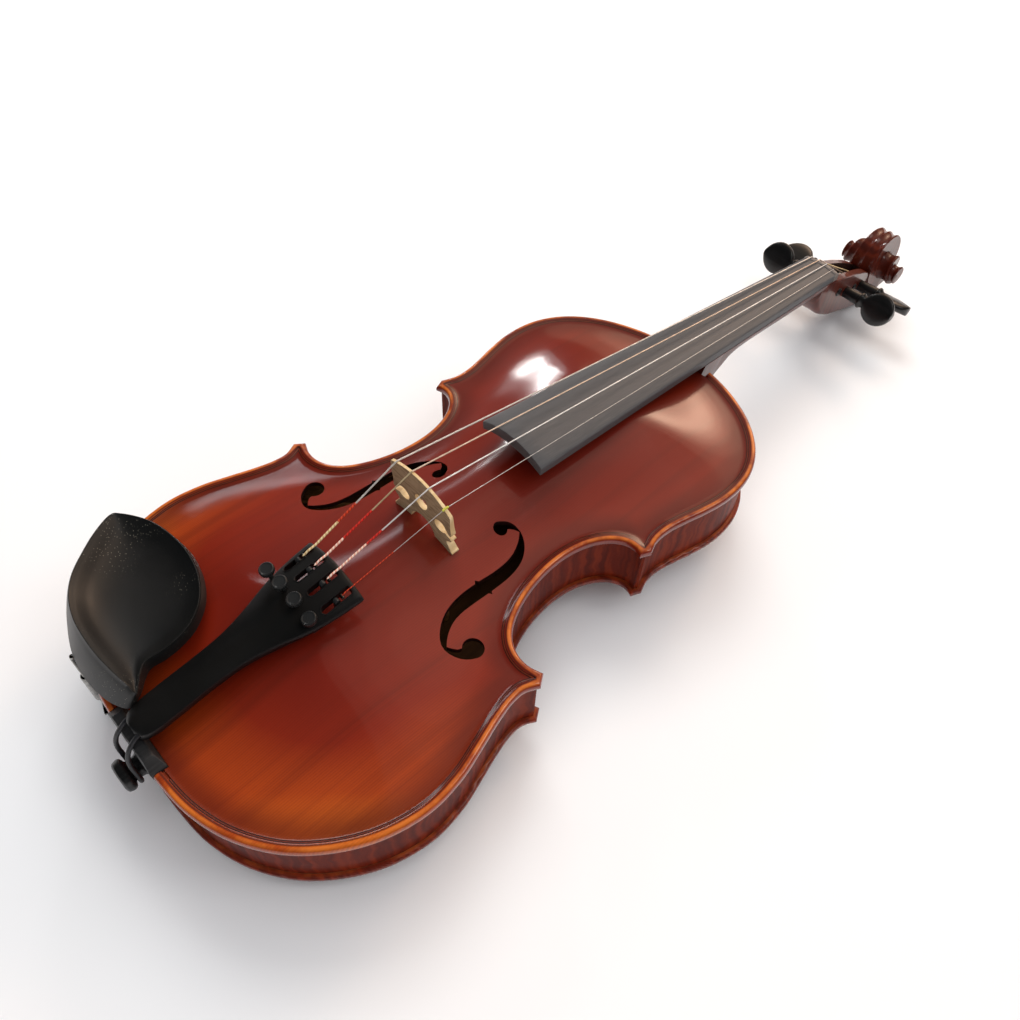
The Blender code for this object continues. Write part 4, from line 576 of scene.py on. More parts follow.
# ---------------------------------------------------------------- materials
class Tree:
    """Short way to write a node material."""

    def __init__(self, name):
        self.m = bpy.data.materials.new(name)
        self.m.use_nodes = True
        self.t = self.m.node_tree
        self.t.nodes.clear()
        self.out = self.t.nodes.new("ShaderNodeOutputMaterial")
        self.b = self.t.nodes.new("ShaderNodeBsdfPrincipled")
        self.t.links.new(self.b.outputs[0], self.out.inputs[0])
        self.co = self.t.nodes.new("ShaderNodeTexCoord").outputs["Object"]

    def put(self, sock, v):
        if isinstance(v, bpy.types.NodeSocket):
            self.t.links.new(v, sock)
        elif v is not None:
            if isinstance(v, (tuple, list)) and len(v) == 3 and sock.type == 'RGBA':
                v = (*v, 1)
            sock.default_value = v

    def set(self, **kw):
        for k, v in kw.items():
            self.put(self.b.inputs[k.replace("_", " ")], v)
        return self

    def scaled(self, s, vec=None, rot=(0, 0, 0), loc=(0, 0, 0)):
        n = self.t.nodes.new("ShaderNodeMapping")
        self.put(n.inputs["Vector"], vec or self.co)
        n.inputs["Scale"].default_value = s
        n.inputs["Rotation"].default_value = rot
        n.inputs["Location"].default_value = loc
        return n.outputs[0]

    def noise(self, vec, scale, detail=2.0, rough=0.5, dist=0.0):
        n = self.t.nodes.new("ShaderNodeTexNoise")
        self.put(n.inputs["Vector"], vec)
        for k, v in (("Scale", scale), ("Detail", detail), ("Roughness", rough), ("Distortion", dist)):
            n.inputs[k].default_value = v
        return n.outputs["Fac"]

    def wave(self, vec, scale, distortion=0.0, detail=2.0, dscale=1.0, axis='X', profile='SIN'):
        n = self.t.nodes.new("ShaderNodeTexWave")
        n.bands_direction, n.wave_profile = axis, profile
        self.put(n.inputs["Vector"], vec)
        for k, v in (("Scale", scale), ("Distortion", distortion), ("Detail", detail), ("Detail Scale", dscale)):
            n.inputs[k].default_value = v
        return n.outputs["Fac"]

    def voronoi(self, vec, scale, feature='F1', rnd=1.0):
        n = self.t.nodes.new("ShaderNodeTexVoronoi")
        n.feature = feature
        self.put(n.inputs["Vector"], vec)
        n.inputs["Scale"].default_value = scale
        n.inputs["Randomness"].default_value = rnd
        return n.outputs["Distance"]

    def ramp(self, fac, stops, interp='LINEAR'):
        n = self.t.nodes.new("ShaderNodeValToRGB")
        n.color_ramp.interpolation = interp
        el = n.color_ramp.elements
        while len(el) < len(stops):
            el.new(0.5)
        for e, (p, c) in zip(el, stops):
            e.position = p
            e.color = (*c, 1) if isinstance(c, (tuple, list)) else (c, c, c, 1)
        self.put(n.inputs[0], fac)
        return n.outputs[0]

    def mix(self, fac, a, b, blend='MIX'):
        n = self.t.nodes.new("ShaderNodeMix")
        n.data_type, n.blend_type = 'RGBA', blend
        self.put(n.inputs[0], fac)
        self.put(n.inputs[6], a)
        self.put(n.inputs[7], b)
        return n.outputs[2]

    def math(self, op, a, b=None, c=None, clamp=False):
        n = self.t.nodes.new("ShaderNodeMath")
        n.operation, n.use_clamp = op, clamp
        self.put(n.inputs[0], a)
        if b is not None:
            self.put(n.inputs[1], b)
        if c is not None:
            self.put(n.inputs[2], c)
        return n.outputs[0]

    def range(self, v, a, b, c=0.0, d=1.0, kind='SMOOTHSTEP'):
        n = self.t.nodes.new("ShaderNodeMapRange")
        n.interpolation_type = kind
        self.put(n.inputs[0], v)
        for k, x in zip((1, 2, 3, 4), (a, b, c, d)):
            n.inputs[k].default_value = x
        return n.outputs[0]

    def attr(self, name):
        n = self.t.nodes.new("ShaderNodeAttribute")
        n.attribute_name = name
        return n.outputs["Fac"]

    def vattr(self, name):
        n = self.t.nodes.new("ShaderNodeAttribute")
        n.attribute_name = name
        return n.outputs["Vector"]

    def xyz(self, vec=None):
        n = self.t.nodes.new("ShaderNodeSeparateXYZ")
        self.put(n.inputs[0], vec or self.co)
        return n.outputs

    def join(self, x, y, z):
        n = self.t.nodes.new("ShaderNodeCombineXYZ")
        for i, v in enumerate((x, y, z)):
            self.put(n.inputs[i], v)
        return n.outputs[0]

    def bump(self, h, strength, distance, normal=None):
        n = self.t.nodes.new("ShaderNodeBump")
        n.inputs["Strength"].default_value = strength
        n.inputs["Distance"].default_value = distance
        self.put(n.inputs["Height"], h)
        if normal is not None:
            self.put(n.inputs["Normal"], normal)
        return n.outputs[0]


def srgb(r, g, b):
    f = lambda c: c / 12.92 if c <= 0.04045 else ((c + 0.055) / 1.055) ** 2.4
    return tuple(f(x / 255.0) for x in (r, g, b))


def varnish_top():
    """Red-orange varnish over spruce: amber towards the edges, a band of painted shade inside the edge, worn gold on
    the crest that is partly a painted highlight.
    """
    k = Tree("varnished_spruce")
    x, y, z = k.xyz()
    e = k.attr("edge")
    broad = k.noise(k.scaled((14, 7, 14)), 1.0, 3.0, 0.55)
    # amber at the lower bout, brick red towards the middle and the upper bout
    low = k.range(y, -0.29, -0.12, 1.0, 0.0)
    near = k.range(e, 4.0, 75.0, 1.0, 0.0)
    amber = k.math('MULTIPLY', near, k.math('MULTIPLY_ADD', low, 0.75, 0.25), clamp=True)
    amber = k.math('MULTIPLY', amber, k.range(y, -0.287, -0.235, 0.62, 1.0))
    amber = k.math('ADD', amber, k.math('MULTIPLY_ADD', broad, 0.4, -0.2), clamp=True)
    col = k.ramp(amber, [(0.0, srgb(108, 23, 9)), (0.35, srgb(126, 32, 9)), (0.7, srgb(160, 60, 11)), (1.0, srgb(208, 106, 20))])
    # painted shade in a dark band just inside the edge, a painted shade line just inside the crest, then the worn
    # crest, partly a painted highlight
    # dark band of painted shade and reflection inside the edge, not a colour of the varnish
    painted_edge_shade = k.math('MULTIPLY', k.range(e, 3.0, 5.5), k.range(e, 7.0, 20.0, 1.0, 0.0), clamp=True)
    painted_edge_shade = k.math('MULTIPLY', painted_edge_shade, k.math('MULTIPLY_ADD', k.noise(k.scaled((30, 18, 30)), 1.0), 0.8, 0.25), clamp=True)
    col = k.mix(painted_edge_shade, col, srgb(74, 16, 9))
    # thin dark line of painted shade just inside the crest
    crest_shade_line = k.math('MULTIPLY', k.range(e, 2.3, 2.9), k.range(e, 3.2, 3.8, 1.0, 0.0), clamp=True)
    col = k.mix(k.math('MULTIPLY', crest_shade_line, 0.75), col, srgb(52, 13, 7))
    grain = k.noise(k.scaled((1000, 9, 60)), 1.0, 2.0, 0.6)
    lines = k.wave(k.scaled((1, 0.004, 1)), 300.0, 2.6, 3.0, 40.0)
    g = k.math('ADD', k.math('MULTIPLY', lines, 0.5), k.math('MULTIPLY', grain, 0.5))
    col = k.mix(k.math('MULTIPLY', k.range(g, 0.35, 0.75), 0.24), col, srgb(80, 18, 8))
    streak = k.noise(k.scaled((150, 2.2, 12)), 1.0, 2.0, 0.6, 0.3)
    col = k.mix(k.math('MULTIPLY', k.range(streak, 0.46, 0.72), 0.34), col, srgb(84, 22, 9))
    # gold on the crest: partly wear, partly a painted highlight
    wear = k.noise(k.scaled((55, 55, 55)), 1.0, 4.0, 0.65)
    crest = k.math('MULTIPLY', k.range(e, 0.3, 1.2), k.range(e, 1.9, 2.9, 1.0, 0.0), clamp=True)
    crest = k.math('MULTIPLY', crest, k.range(wear, 0.32, 0.62), clamp=True)
    col = k.mix(k.math('MULTIPLY', crest, 0.85), col, srgb(206, 112, 38))
    k.set(Base_Color=col, Roughness=0.45, Specular_IOR_Level=0.22, Coat_Weight=1.0, Coat_Roughness=0.08, Coat_IOR=1.5)
    fine = k.math('ADD', k.math('MULTIPLY', lines, 0.6), k.math('MULTIPLY', k.noise(k.scaled((1400, 16, 90)), 1.0, 1.0), 0.6))
    nb = k.bump(fine, 0.12, 0.00005)
    wavy = k.bump(k.noise(k.scaled((50, 14, 50)), 1.0, 2.0), 0.25, 0.0004, nb)
    k.put(k.b.inputs["Coat Normal"], wavy)
    k.put(k.b.inputs["Normal"], nb)
    return k.m


def varnish_maple(name, kind, tone=1.0):
    """Red-brown varnish over flamed maple; on the ribs the flame follows the outline."""
    k = Tree(name)
    x, y, z = k.xyz()
    mm = lambda v: k.math('MULTIPLY', v, 1000.0)
    a, b = (k.attr("run"), mm(z)) if kind == "ribs" else (mm(y), mm(x))
    e = k.attr("edge")
    warp = k.noise(k.join(k.math('MULTIPLY', a, 0.05), k.math('MULTIPLY', b, 0.09), 0.0), 1.0, 2.0)
    p = k.math('ADD', k.math('MULTIPLY', a, 0.34), k.math('MULTIPLY', warp, 2.4))
    band = k.noise(k.join(p, k.math('MULTIPLY', b, 0.02), 0.0), 1.0, 1.5, 0.5)
    dark, mid, light = srgb(84 * tone, 24 * tone, 12 * tone), srgb(102 * tone, 31 * tone, 14 * tone), srgb(122 * tone, 41 * tone, 17 * tone)
    col = k.ramp(k.range(band, 0.3, 0.7), [(0.0, dark), (0.5, mid), (1.0, light)])
    grain = k.noise(k.join(k.math('MULTIPLY', a, 0.05), k.math('MULTIPLY', b, 2.4), 0.0), 1.0, 3.0, 0.6)
    col = k.mix(k.math('MULTIPLY', k.range(grain, 0.45, 0.75), 0.35), col, dark)
    wear = k.math('MULTIPLY', k.range(e, 0.5, 1.6, 0.0, 1.0), k.range(k.noise(k.scaled((60, 60, 60)), 1.0, 4.0, 0.6), 0.4, 0.65), clamp=True)
    wear = k.math('MULTIPLY', wear, k.range(e, 2.6, 3.4, 1.0, 0.0), clamp=True)
    col = k.mix(k.math('MULTIPLY', wear, 0.6), col, srgb(176, 84, 34))
    side = kind == "ribs"
    k.set(Base_Color=col, Roughness=0.45, Specular_IOR_Level=0.05 if side else 0.25, Coat_Weight=0.06 if side else 0.55, Coat_Roughness=0.10, Coat_IOR=1.5)
    k.put(k.b.inputs["Coat Normal"], k.bump(k.noise(k.scaled((70, 40, 70)), 1.0, 2.0), 0.25, 0.0003))
    return k.m


def ebony(name, rough=0.38, tone=24, grain_axis='Y', coat=0.0, fine=1.0, lo=0.7, hi=1.7):
    k = Tree(name)
    s = (900, 14, 500) if grain_axis == 'Y' else (14, 900, 500)
    s = (s[0] * fine, s[1], s[2] * fine)
    g = k.noise(k.scaled(s), 1.0, 3.0, 0.6)
    pores = k.noise(k.scaled(tuple(q * 2.2 for q in s)), 1.0, 1.0, 0.5)
    col = k.ramp(g, [(0.25, srgb(tone * lo, tone * lo, tone * lo * 1.03)), (0.6, srgb(tone, tone, tone * 1.02)), (0.85, srgb(tone * hi, tone * hi * 0.96, tone * hi * 0.94))])
    k.set(Base_Color=col, Roughness=k.range(g, 0.2, 0.8, rough - 0.05, rough + 0.08, 'LINEAR'), Specular_IOR_Level=0.5, Coat_Weight=coat)
    k.put(k.b.inputs["Normal"], k.bump(k.math('ADD', k.math('MULTIPLY', g, 0.5), k.range(pores, 0.62, 0.75)), 0.25, 0.00005))
    return k.m


def moulded(name, tone=30, rough=0.42, dust=0.0):
    """Black moulded composite: very fine mottle, faint dust."""
    k = Tree(name)
    f = k.noise(k.scaled((1500, 1500, 1500)), 1.0, 2.0)
    big = k.noise(k.scaled((40, 40, 40)), 1.0, 3.0)
    col = k.ramp(big, [(0.3, srgb(tone, tone * 1.04, tone * 1.06)), (0.7, srgb(tone * 1.25, tone * 1.3, tone * 1.32))])
    if dust:
        d = k.voronoi(k.scaled((900, 900, 900)), 1.0)
        spots = k.math('MULTIPLY', k.range(d, 0.17, 0.10), k.range(k.noise(k.scaled((26, 26, 26)), 1.0, 2.0), 0.47, 0.64), clamp=True)
        col = k.mix(k.math('MULTIPLY', spots, dust), col, srgb(150, 145, 130))
    k.set(Base_Color=col, Roughness=k.range(big, 0.3, 0.7, rough - 0.05, rough + 0.07, 'LINEAR'), Specular_IOR_Level=0.5)
    k.put(k.b.inputs["Normal"], k.bump(f, 0.10, 0.00005))
    return k.m


def metal(name, rgb, rough=0.25, coil=0.0, solid=1.0):
    k = Tree(name)
    n = k.noise(k.scaled((300, 300, 300)), 1.0, 3.0)
    col = k.mix(k.range(n, 0.3, 0.7), rgb, tuple(c * 0.75 for c in rgb))
    k.set(Base_Color=col, Metallic=solid, Roughness=k.range(n, 0.3, 0.7, rough * 0.8, rough * 1.3, 'LINEAR'))
    if coil:
        w = k.wave(k.join(k.attr("run"), 0.0, 0.0), coil)
        k.put(k.b.inputs["Normal"], k.bump(w, 0.5, 0.00008))
    else:
        k.put(k.b.inputs["Normal"], k.bump(k.noise(k.scaled((900, 900, 900)), 1.0, 2.0), 0.05, 0.00005))
    return k.m


def silk(name, c0, c1, pitch=0.35):
    """Wrapped thread: two tones twisting round the string."""
    k = Tree(name)
    r = k.attr("run")
    w = k.wave(k.join(r, k.attr("turn"), 0.0), pitch, 0.4, 1.0, 1.0, 'DIAGONAL')
    col = k.mix(k.range(w, 0.25, 0.75), c0, c1)
    k.set(Base_Color=col, Roughness=0.55, Specular_IOR_Level=0.3)
    k.put(k.b.inputs["Normal"], k.bump(w, 0.6, 0.0001))
    return k.m


def raw_wood(name, light, dark, scale=(300, 12, 300), rough=0.6):
    k = Tree(name)
    g = k.noise(k.scaled(scale), 1.0, 4.0, 0.6, 0.4)
    b = k.noise(k.scaled((25, 12, 25)), 1.0, 2.0)
    col = k.mix(k.range(g, 0.3, 0.7), light, dark)
    col = k.mix(k.math('MULTIPLY', b, 0.4), col, tuple(c * 0.7 for c in light))
    k.set(Base_Color=col, Roughness=rough, Specular_IOR_Level=0.35)
    k.put(k.b.inputs["Normal"], k.bump(g, 0.2, 0.0001))
    return k.m


def bridge_wood():
    """Unvarnished maple, quarter-cut: short dark flecks on the faces. The faces are painted darker as shade and the
    edges lighter as lit.
    """
    k = Tree("bridge_maple")
    fl = k.noise(k.scaled((160, 500, 1500)), 1.0, 2.0, 0.6, 0.3)
    wd = k.noise(k.scaled((420, 300, 90)), 1.0, 3.0)
    # face colours darkened as painted shade, edge colours lightened as painted light
    face = k.mix(k.range(fl, 0.45, 0.62), srgb(178, 154, 120), srgb(132, 108, 82))
    face = k.mix(k.math('MULTIPLY', wd, 0.30), face, srgb(196, 176, 144))
    edge = k.mix(k.range(wd, 0.35, 0.65), srgb(232, 205, 160), srgb(212, 180, 130))
    # faces and edges told apart by which way they point: painted shade on the faces, painted light on the edges
    gm = k.t.nodes.new("ShaderNodeNewGeometry")
    ny = k.math('ABSOLUTE', k.xyz(gm.outputs["True Normal"])[1])
    col = k.mix(k.range(ny, 0.6, 0.8), edge, face)
    k.set(Base_Color=col, Roughness=0.5, Specular_IOR_Level=0.4)
    k.put(k.b.inputs["Normal"], k.bump(fl, 0.15, 0.0001))
    return k.m


def plain(name, c0, c1, scale=200.0, rough=0.5, spec=0.5, bumpy=0.1, sub=0.0):
    k = Tree(name)
    n = k.noise(k.scaled((scale, scale, scale)), 1.0, 3.0)
    k.set(Base_Color=k.mix(k.range(n, 0.3, 0.7), c0, c1), Roughness=k.range(n, 0.3, 0.7, rough - 0.05, rough + 0.05, 'LINEAR'),
          Specular_IOR_Level=spec)
    k.put(k.b.inputs["Normal"], k.bump(n, bumpy, 0.0001))
    return k.m


def cork_mat():
    k = Tree("cork")
    v = k.voronoi(k.scaled((700, 700, 700)), 1.0)
    n = k.noise(k.scaled((260, 260, 260)), 1.0, 3.0)
    col = k.mix(k.range(v, 0.1, 0.5), srgb(120, 76, 40), srgb(188, 136, 84))
    col = k.mix(k.range(n, 0.55, 0.75), col, srgb(86, 52, 28))
    k.set(Base_Color=col, Roughness=0.85, Specular_IOR_Level=0.2)
    k.put(k.b.inputs["Normal"], k.bump(v, 0.6, 0.0003))
    return k.m


VT = varnish_top()
VR = varnish_maple("varnished_ribs", "ribs")
VB = varnish_maple("varnished_back", "back", 1.1)
VN = varnish_maple("varnished_neck", "neck", 0.78)
EBONY_BOARD = ebony("ebony_board", 0.5, 80, fine=2.4, lo=0.82, hi=1.25)
EBONY_FIT = ebony("ebony_fittings", 0.34, 26)
EBONY_PEG = ebony("ebony_pegs", 0.32, 22, 'X')
EBONY_SADDLE = ebony("ebony_saddle", 0.45, 44)
MOULDED = moulded("moulded_tailpiece", 11, 0.46)
MOULDED_REST = moulded("moulded_chin_rest", 18, 0.42, 0.8)
MOULDED_KNOB = moulded("moulded_knobs", 30, 0.32)
NICKEL_M = metal("nickel_plate", (0.40, 0.39, 0.37), 0.26)
STEEL_PLAIN = metal("string_plain_steel", (0.80, 0.78, 0.75), 0.3, 0.0, 0.6)
STEEL_WOUND = metal("string_wound", (0.84, 0.80, 0.74), 0.38, 0.0, 0.55)
SILK_CREAM = silk("silk_cream", srgb(236, 214, 168), srgb(196, 160, 112))
SILK_PEACH = silk("silk_peach", srgb(242, 190, 150), srgb(214, 120, 84))
SILK_RED = silk("silk_red", srgb(206, 44, 28), srgb(158, 24, 18))
SILK_PINK = silk("silk_pink", srgb(250, 222, 204), srgb(224, 150, 128))
SILK_ORANGE = silk("silk_orange", srgb(206, 70, 36), srgb(150, 36, 20))
BRIDGE_M = bridge_wood()
BALL_M = metal("ball_end_metal", (0.16, 0.15, 0.14), 0.35)
GOLD_M = metal("string_gold_wrap", (0.62, 0.50, 0.30), 0.4, 0.0, 0.5)
COPPER_M = metal("string_copper_tone", (0.82, 0.64, 0.50), 0.38, 0.0, 0.5)
WHITE_M = metal("string_bright", (0.95, 0.93, 0.90), 0.35, 0.0, 0.45)
BONE_M = plain("nut_bone", srgb(122, 114, 108), srgb(98, 90, 88), 400, 0.35)
CORK_M = cork_mat()
CORD_M = plain("cord_nylon", srgb(20, 20, 22), srgb(34, 34, 38), 900, 0.45, 0.5, 0.4)
SLEEVE_M = plain("sleeve_plastic", srgb(206, 204, 84), srgb(176, 172, 52), 900, 0.4)
SPRUCE_RAW = raw_wood("raw_spruce", srgb(196, 150, 96), srgb(150, 104, 58))
MAPLE_RAW = raw_wood("raw_maple", srgb(122, 82, 50), srgb(92, 60, 36), (160, 20, 160))
PEGBOX_IN = plain("pegbox_inside", srgb(52, 22, 14), srgb(34, 14, 10), 120, 0.6)
F_EDGE = plain("f_hole_edge", srgb(46, 14, 10), srgb(26, 10, 8), 200, 0.5)
PURF_BLACK = raw_wood("purfling_black", srgb(30, 14, 10), srgb(20, 9, 7), (900, 60, 900), 0.35)
PURF_PALE = raw_wood("purfling_pale", srgb(112, 40, 16), srgb(86, 28, 12), (900, 60, 900), 0.35)
for _m in (PURF_BLACK, PURF_PALE):
    _b = next(n for n in _m.node_tree.nodes if n.type == 'BSDF_PRINCIPLED')
    _b.inputs["Coat Weight"].default_value = 1.0
    _b.inputs["Coat Roughness"].default_value = 0.08

# -------------------------------------------------------- plates of the body
OUT = loop(0)
GX, GY = np.arange(-111.0, 111.1, 1.5), np.arange(-9.0, 369.1, 1.5)


def smooth_arch():
    """Arching per unit of rise on a grid, with its creases blended away."""
    a, b = np.meshgrid(GX, GY)
    P = np.c_[a.ravel(), b.ravel()]
    h = arch(P, CHANNEL_Z + 1.0).reshape(a.shape)
    k = np.exp(-0.5 * (np.arange(-8, 9) * 1.5 / 3.6) ** 2)
    k /= k.sum()
    for ax in (0, 1):
        h = np.apply_along_axis(lambda r: np.convolve(np.pad(r, 8, mode='edge'), k, 'valid'), ax, h)
    e = np.where(inside(P, OUT[::3]), dist(P, OUT[::3]), 0.0).reshape(a.shape)
    t = np.clip((e - 3.0) / 8.0, 0, 1)
    return h * t * t * (3 - 2 * t)


HG = smooth_arch()
HGY, HGX = np.gradient(HG, 1.5)


def field(G, P):
    x = np.clip((P[:, 0] - GX[0]) / 1.5, 0, len(GX) - 1.001)
    y = np.clip((P[:, 1] - GY[0]) / 1.5, 0, len(GY) - 1.001)
    i, j = x.astype(int), y.astype(int)
    u, v = x - i, y - j
    return (G[j, i] * (1 - u) * (1 - v) + G[j, i + 1] * u * (1 - v) + G[j + 1, i] * (1 - u) * v + G[j + 1, i + 1] * u * v)


def edge_top(e):
    return np.where(e < 1.8, 2.0 + 2.2 * np.sqrt(np.clip(1 - (1 - e / 1.8) ** 2, 0, 1)),
                    CHANNEL_Z + (EDGE_Z - CHANNEL_Z) * 0.5 * (1 + np.cos(math.pi * np.clip((e - 1.8) / 5.2, 0, 1))))


def edge_slope(e):
    return np.where((e > 1.8) & (e < 7.0), -(EDGE_Z - CHANNEL_Z) * 0.5 * math.pi / 5.2 * np.sin(math.pi * np.clip((e - 1.8) / 5.2, 0, 1)), 0.0)


def over(P, crown):
    """Outside height of a plate at points in plan."""
    P = np.atleast_2d(P)
    return edge_top(dist(P, OUT)) + (crown - CHANNEL_Z) * field(HG, P)


PO, PI = 3.75, 5.05                      # purfling, outside and inside
DEEP = 1.1


def button_outline(L0):
    keep = ~((np.abs(L0[:, 0]) < BUTTON_R - 0.2) & (L0[:, 1] > 300))
    k = int(np.nonzero(~keep)[0].min())
    arc = [(BUTTON_R, 354.9)] + [(BUTTON_R * math.cos(a), BUTTON_C + BUTTON_R * math.sin(a))
                                 for a in np.linspace(0, math.pi, 33)] + [(-BUTTON_R, 354.9)]
    near = keep & ~((np.abs(L0[:, 0]) < BUTTON_R + 1.2) & (L0[:, 1] > 300))
    return np.vstack([L0[:k][near[:k]], arc, L0[k:][near[k:]]])


def plate(name, node, crown, thick, mats, holes, cuts, flip):
    button = flip
    L0 = button_outline(OUT) if button else OUT
    pts, edges = [], []

    def add(L):
        edges.extend(ring_edges(len(pts), len(L)))
        pts.extend(tuple(p) for p in L)
    add(L0)
    for d, f in ((0.1, 0.08), (0.35, 0.3), (0.75, 0.62), (1.25, 1.0), (1.8, 1.5), (2.4, 1.9), (3.0, 2.3), (PO, 2.9), (PI, None),
                 (6.2, None), (7.6, None), (9.4, None)):
        if button and d < 2.0:
            L = loop(d, f)
            L = L[~((np.abs(L[:, 0]) < BUTTON_R + 1.5) & (L[:, 1] > 340))]
            pts.extend(tuple(p) for p in L)
        else:
            add(loop(d, f))
    for h in holes + cuts:
        add(h)
    rim, LA, LB = loop(9.4), loop(PO, 2.9), loop(PI)
    g = 4.0
    grid = np.array([(x + (0.5 * g if j % 2 else 0), y) for j, y in enumerate(np.arange(8, 350, g * 0.866))
                     for x in np.arange(-26 * g, 26.1 * g, g)])
    ok = inside(grid, rim) & (dist(grid, rim) > 2.0)
    for h in holes + cuts:
        ok &= ~inside(grid, h) & (dist(grid, h) > 1.5)
    pts.extend(tuple(p) for p in grid[ok])
    V, T = triangulate(pts, edges)
    C = np.array([V[list(t)].mean(0) for t in T])
    ok = inside(C, L0)
    for h in holes + cuts:
        ok &= ~inside(C, h)
    groove = inside(C, LA) & ~inside(C, LB)
    n = len(V)
    e = dist(V, L0)
    hh = (crown - CHANNEL_Z) * field(HG, V)
    zt = edge_top(e) + hh
    zb = np.where(e < 8.0, 0.0, np.maximum(0.0, CHANNEL_Z + hh - thick)) + 1.0 * (1 - np.sqrt(np.clip(1 - np.clip(1 - e / 1.2, 0, 1) ** 2, 0, 1)))
    if button:
        b = np.clip((V[:, 1] - 353.0) / 3.0, 0, 1) * (np.abs(V[:, 0]) < BUTTON_R + 0.1)
        zt = np.where(b > 0, np.minimum(zt, 3.9), zt)
        zb = np.where((np.abs(V[:, 0]) < BUTTON_R + 1) & (V[:, 1] > 353.5), 0.0, zb)
    # smooth normals of the outside from the height field
    q = 0.05
    ex = (dist(V + [q, 0], L0) - dist(V - [q, 0], L0)) / (2 * q)
    ey = (dist(V + [0, q], L0) - dist(V - [0, q], L0)) / (2 * q)
    s = edge_slope(e)
    N = np.c_[-(s * ex + (crown - CHANNEL_Z) * field(HGX, V)), -(s * ey + (crown - CHANNEL_Z) * field(HGY, V)), np.ones(n)]
    N /= np.linalg.norm(N, axis=1)[:, None]
    good = e > 1.75
    if button:
        good &= ~((np.abs(V[:, 0]) < BUTTON_R + 3) & (V[:, 1] > 350))
    top, bot, floor = np.c_[V, zt], np.c_[V, zb], np.c_[V, zt - DEEP]
    F, fm, kind, et = [], [], [], {}
    for t, k, gr in zip(T, ok, groove):
        if not k:
            continue
        a, b, c = t
        F.append((a + 2 * n, b + 2 * n, c + 2 * n) if gr else (a, b, c))
        fm.append(0)
        kind.append(0 if gr else 1)
        F.append((a + n, c + n, b + n))
        fm.append(1 if e[list(t)].max() > 2.6 else 0)
        kind.append(0)
        for u in ((a, b), (b, c), (c, a)):
            et[u] = gr
    inner = [h for h in holes + cuts]
    for (a, b), gr in et.items():
        o = et.get((b, a))
        if o is None:
            F.append((b, a, a + n, b + n))
            m = (V[a] + V[b]) / 2
            fm.append(2 if any(dist(m, h)[0] < 0.05 for h in inner) else 0)
            kind.append(0)
        elif o and not gr:
            F.append((b, a, a + 2 * n, b + 2 * n))
            fm.append(0)
            kind.append(0)
    X = np.vstack([top, bot, floor])
    NN = np.vstack([N, N * 0, N * 0])
    E = np.r_[e, e, e]
    if flip:
        X = X * [1, 1, -1] - [0, 0, RIB_H]
        NN = NN * [1, 1, -1]
        F = [f[::-1] for f in F]
    idx = sorted({i for f in F for i in f})
    m = {o: i for i, o in enumerate(idx)}
    ob = raw_object(name, X[idx], [tuple(m[i] for i in f) for f in F], mats, fm, {"edge": E[idx]})
    me = ob.data
    me.shade_smooth()
    me.set_sharp_from_angle(angle=math.radians(38))
    NW = NN @ ROT.T
    goodv = np.r_[good, np.zeros(2 * n, bool)]
    cn = []
    for f, kd in zip(F, kind):
        for i in f:
            cn.append(tuple(NW[i]) if kd and goodv[i] else (0.0, 0.0, 0.0))
    me.normals_split_custom_set(cn)
    return show(ob, "violin", node)


def box2(x0, x1, y0, y1):
    return np.array([(x0, y0), (x1, y0), (x1, y1), (x0, y1)], float)


F_T = f_hole(48)
F_B = (F_T * [-1, 1])[::-1]
plate("top", "top_plate", TOP_CROWN, TOP_T, [VT, SPRUCE_RAW, F_EDGE], [F_T, F_B],
      [box2(-18.8, 18.8, -3, 7.5), box2(-17.9, 17.9, 348.7, 362)], False)
plate("back", "back_plate", BACK_CROWN - 0.06, BACK_T, [VB, MAPLE_RAW, MAPLE_RAW], [], [], True)


def purfling(crown, back):
    o, i = offset_bouts(PO + 0.02, 2.9), offset_bouts(PI - 0.02)
    o = np.vstack([at(c, f) for c, f in zip(o, (FL, FC, FU))])
    i = np.vstack([at(c, f) for c, f in zip(i, (FL, FC, FU))])
    if not back:
        k = (o[:, 0] > 19.2) | ((o[:, 1] > 150) & (o[:, 0] > 18.0))
        k &= ~((o[:, 1] > 340) & (o[:, 0] < 18.0))
        o, i = o[k], i[k]
    rows = [o + (i - o) * f for f in (0, 0.3, 0.7, 1.0)]
    z = [over(r, crown) - 0.015 for r in rows]
    R = np.stack([np.c_[r, q] for r, q in zip(rows, z)] + [np.c_[rows[3], z[3] - DEEP + 0.1], np.c_[rows[0], z[0] - DEEP + 0.1]], 1)
    return R


def purfling_piece(name, R, close, node):
    V, F = loft(R, close=close)
    n = len(R) - (0 if close else 1)
    fm = [(0, 1, 0, 0, 0, 0)[j] for _ in range(n) for j in range(6)] + ([] if close else [0, 0])
    piece(name, V, F, [PURF_BLACK, PURF_PALE], "violin", node, fm, angle=50, weld=0)


R = purfling(TOP_CROWN, False)
for side, s in (("treble", 1), ("bass", -1)):
    purfling_piece("purfling_" + side, R * [s, 1, 1], False, "purfling_top_" + side)
R = purfling(BACK_CROWN, True) * [1, 1, -1] - [0, 0, RIB_H]
R = np.concatenate([R, (R * [-1, 1, 1])[1:-1][::-1]])
purfling_piece("purfling_lower", R, True, "purfling_back")

